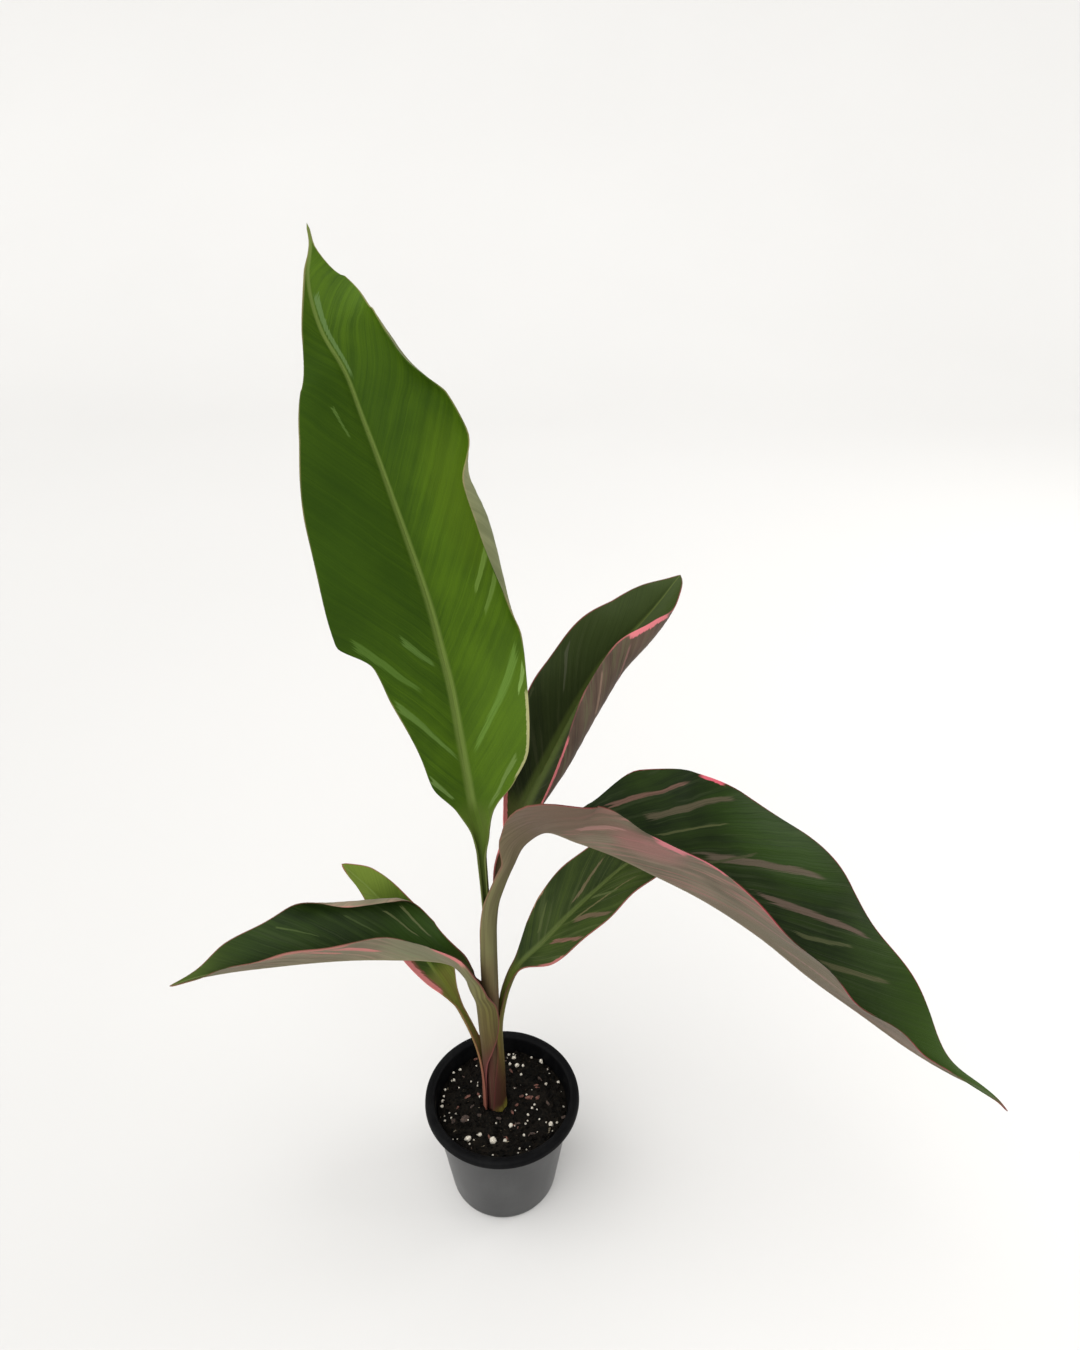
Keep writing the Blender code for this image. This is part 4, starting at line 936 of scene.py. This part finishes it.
grains = {
    "crumbs": 900, "bark": 15, "perlite": 60, "seed": 12,
    # white grains that the picture shows clearly: x, y, size
    "seenPerlite": [
        (3.2, 41.0, 0.9), (7.0, 37.3, 1.1), (4.2, 32.2, 0.9), (13.6, 30.6, 0.8), (9.3, 30.6, 1.2), (12.3, 23.9, 0.8),
        (29.9, 15.8, 0.8), (-41.3, 2.3, 0.9), (-41.4, -2.4, 0.9), (20.3, -3.1, 0.8), (17.6, -7.7, 0.7), (6.2, -16.0, 1.1),
        (-22.0, -26.9, 1.5), (-14.2, -23.3, 1.1), (-5.4, -27.6, 1.8), (2.6, -27.6, 1.1), (33.1, -15.2, 1.4),
        (-35.5, 24.5, 0.8), (-31.2, 27.2, 0.8), (-34.8, 19.0, 0.8), (-40.5, 11.5, 0.7), (26.5, 34.0, 1.0),
        (38.6, 17.2, 0.9), (-15.7, 4.6, 0.8),
    ],
    # bits of bark that the picture shows: x, y, length, width, turn, kind
    "seenBark": [
        (18.8, 5.2, 6.2, 2.4, 8, "red"), (24.0, 4.4, 3.6, 2.2, 60, "red"), (13.0, 6.4, 3.2, 1.6, 20, "red"),
        (-25.0, -11.0, 6.4, 4.4, 30, "brown"), (-33.0, -12.4, 3.4, 2.2, 80, "brown"), (-15.5, -9.0, 3.4, 1.8, 10, "brown"),
        (9.8, -1.0, 2.6, 1.4, 40, "red"), (32.0, -19.6, 4.0, 0.9, 75, "pale"), (20.6, -22.0, 4.0, 1.5, 5, "brown"),
        (-2.0, -11.4, 3.6, 1.6, 350, "brown"), (31.0, 1.0, 3.8, 1.5, 120, "brown"),
    ],
    "kinds": {"red": (120, 74, 60), "brown": (78, 60, 50), "pale": (140, 128, 104)}, "white": (212, 206, 192),
}


def roomFor(draw):  # a free spot on the soil, clear of stem and wall
    while True:
        x, y = draw.uniform(-44, 44, 2)
        if math.hypot(x, y) < 43.0 and math.hypot(x - stem["x"], y) > 10.6:
            return x, y


def onSoil(x, y, lift):
    return soil["level"] + soilHeight(x, y) + lift


def scatterCrumbs(draw):
    models = [lump("crumbModel" + str(index), 0.5, 7.0 * index, 2) for index in range(3)]
    crumbs = []
    for index in range(grains["crumbs"]):
        x, y = roomFor(draw)
        if index % 4 == 0:  # more of them gather round the stem
            turn = draw.uniform(0, 2 * math.pi)
            near = stemHole(turn) + draw.uniform(0.3, 2.4)
            x, y = stem["x"] + near * math.cos(turn), near * math.sin(turn)
        size = 0.45 + 1.0 * draw.random() ** 2.5
        sizes = size * draw.uniform(0.6, 1.3, 3)
        crumbs.append((draw.integers(3), x, y, onSoil(x, y, 0.15 * size), sizes, draw.uniform(0, 6.28, 3)))
    finish = soilFinish("soilCrumbs", soil["dark"], soil["crumb"], 420.0)
    scatter("soilCrumbs", models, crumbs, finish, "potting_soil", 60.0)
    return models


def scatterPerlite(draw):
    models = [lump("grainModel" + str(index), 0.28, 3.0 + 5.0 * index, 3) for index in range(3)]
    spots = list(grains["seenPerlite"])
    spots += [(*roomFor(draw), draw.uniform(0.3, 0.62)) for index in range(grains["perlite"])]
    white = []
    for x, y, size in spots:
        sizes = size * draw.uniform(1.0, 1.4, 3)
        white.append((draw.integers(3), x, y, onSoil(x, y, 0.4 * size), sizes, draw.uniform(0, 6.28, 3)))
    finish = Finish("perlite")
    speckle = finish.noise(finish.place(), 1600.0, 3.0)
    colour = finish.mix(finish.between(speckle, 0.35, 0.6), screenColour(150, 142, 126), screenColour(*grains["white"]))
    finish.set(colour=colour, rough=0.85, normal=finish.bump(speckle, 0.2 * mm))
    scatter("perliteGrains", models, white, finish.material, "potting_soil")
    return models


def scatterBark(draw):
    models = [lump("chipModel" + str(index), 0.55, 31.0 + 4.0 * index, 3) for index in range(4)]
    for kind, tint in grains["kinds"].items():
        chips = []
        for x, y, long, wide, turn, made in grains["seenBark"]:
            if made == kind:
                turns = (0.1, 0.1, math.radians(turn))
                chips.append((draw.integers(4), x, y, onSoil(x, y, 0.5), (long / 2, wide / 2, 0.9), turns))
        for index in range(grains["bark"]):
            x, y = roomFor(draw)
            long = draw.uniform(1.6, 4.6)
            wide, thick = long * draw.uniform(0.25, 0.5), draw.uniform(0.3, 0.6)
            if kind == "pale":
                long, wide, thick = long * 0.6, wide * 0.3, thick * 0.5
            turns = (*draw.uniform(-0.4, 0.4, 2), draw.uniform(0, 6.28))
            chips.append((draw.integers(4), x, y, onSoil(x, y, 0.3), (long / 2, wide / 2, thick), turns))
        finish = Finish(kind + "Bark")
        grain = finish.noise(finish.place(), 900.0, 4.0, 0.7)
        shadow = [value * 0.45 for value in tint]
        colour = finish.mix(finish.between(grain, 0.36, 0.66), screenColour(*shadow), screenColour(*tint))
        finish.set(colour=colour, rough=0.8, normal=finish.bump(grain, 0.4 * mm))
        scatter(kind + "Bark", models, chips, finish.material, "potting_soil", 50.0)
    return models


draw = np.random.default_rng(grains["seed"])
for model in scatterCrumbs(draw) + scatterPerlite(draw) + scatterBark(draw):
    bpy.data.objects.remove(model, do_unlink=True)


# Corm, hidden in the soil

def cormFinish():
    finish = Finish("cormFlesh")
    fibre = finish.noise(finish.place(), 500.0, 4.0, 0.6)
    colour = finish.mix(finish.between(fibre, 0.35, 0.65), screenColour(92, 70, 46), screenColour(178, 150, 110))
    return finish.set(colour=colour, rough=0.75, normal=finish.bump(fibre, 0.4 * mm))


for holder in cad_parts["corm"].material_slots:
    holder.material = cormFinish()


# Studio

studio = {
    "floor": (199, 198, 196), "floorShade": (195, 194, 192), "world": 0.7,
    "wide": 16.0, "near": -3.0, "far": 5.0, "high": 6.0, "cove": 3.0,
    "sun": {"toward": (-0.57, -0.44, 0.7), "strength": 3.8, "soft": 100},
    "side": {"place": (1.6, 0.2, 1.1), "aim": (0.0, 0.0, 0.1), "size": 1.2, "power": 18.0},
}


def makeStudio():
    dropSelection()
    middle = (studio["near"] + studio["far"]) / 2
    bpy.ops.mesh.primitive_plane_add(size=1.0, location=(0.0, middle, -0.0005))
    floor = bpy.context.object
    floor.name = "paleFloor"
    floor.scale = (studio["wide"], studio["far"] - studio["near"], 1.0)
    bpy.ops.object.transform_apply(location=True, scale=True)
    back = [edge.index for edge in floor.data.edges
            if all(floor.data.vertices[index].co.y > studio["far"] - 0.1 for index in edge.vertices)]
    bpy.ops.object.mode_set(mode="EDIT")
    bpy.ops.mesh.select_mode(type="EDGE")
    bpy.ops.mesh.select_all(action="DESELECT")
    bpy.ops.object.mode_set(mode="OBJECT")
    for index in back:
        floor.data.edges[index].select = True
    bpy.ops.object.mode_set(mode="EDIT")
    bpy.ops.mesh.extrude_edges_move(TRANSFORM_OT_translate={"value": (0.0, 0.0, studio["high"])})
    bpy.ops.object.mode_set(mode="OBJECT")
    corner = floor.modifiers.new("cove", "BEVEL")
    corner.width = studio["cove"]
    corner.segments = 24
    corner.limit_method = "ANGLE"
    applyAll(floor)
    bpy.ops.object.shade_smooth()
    paper = Finish("palePaper")
    tone = paper.noise(paper.place(), 1.2, 2.0)
    colour = paper.mix(tone, screenColour(*studio["floor"]), screenColour(*studio["floorShade"]))
    floor.data.materials.append(paper.set(colour=colour, rough=0.9, specular=0.0))
    world = bpy.data.worlds.new("softRoom")
    bpy.context.scene.world = world
    world.use_nodes = True
    sky = world.node_tree.nodes["Background"]
    sky.inputs["Color"].default_value = (1.0, 0.995, 0.99, 1.0)
    sky.inputs["Strength"].default_value = studio["world"]
    dropSelection()
    sun = studio["sun"]
    bpy.ops.object.light_add(type="SUN", location=[value * 3 for value in sun["toward"]])
    lamp = bpy.context.object
    lamp.name = "softSun"
    lamp.data.energy = sun["strength"]
    lamp.data.angle = math.radians(sun["soft"])
    lamp.rotation_euler = Vector(sun["toward"]).to_track_quat("Z", "Y").to_euler()
    dropSelection()
    side = studio["side"]
    bpy.ops.object.light_add(type="AREA", location=side["place"])
    lamp = bpy.context.object
    lamp.name = "sideLamp"
    lamp.data.size = side["size"]
    lamp.data.energy = side["power"]
    lamp.rotation_euler = (Vector(side["place"]) - Vector(side["aim"])).to_track_quat("Z", "Y").to_euler()
    dropSelection()
    bpy.ops.object.camera_add(location=(0.0257, -0.4237, 0.6573), rotation=(math.radians(60), 0.0, 0.0))
    camera = bpy.context.object
    camera.name = "photoCamera"
    camera.data.sensor_width = 36.0
    camera.data.lens = 25.6
    camera.data.clip_start = 0.01
    bpy.context.scene.camera = camera
    bpy.context.scene.view_settings.view_transform = "Standard"
    print("set the studio")


makeStudio()
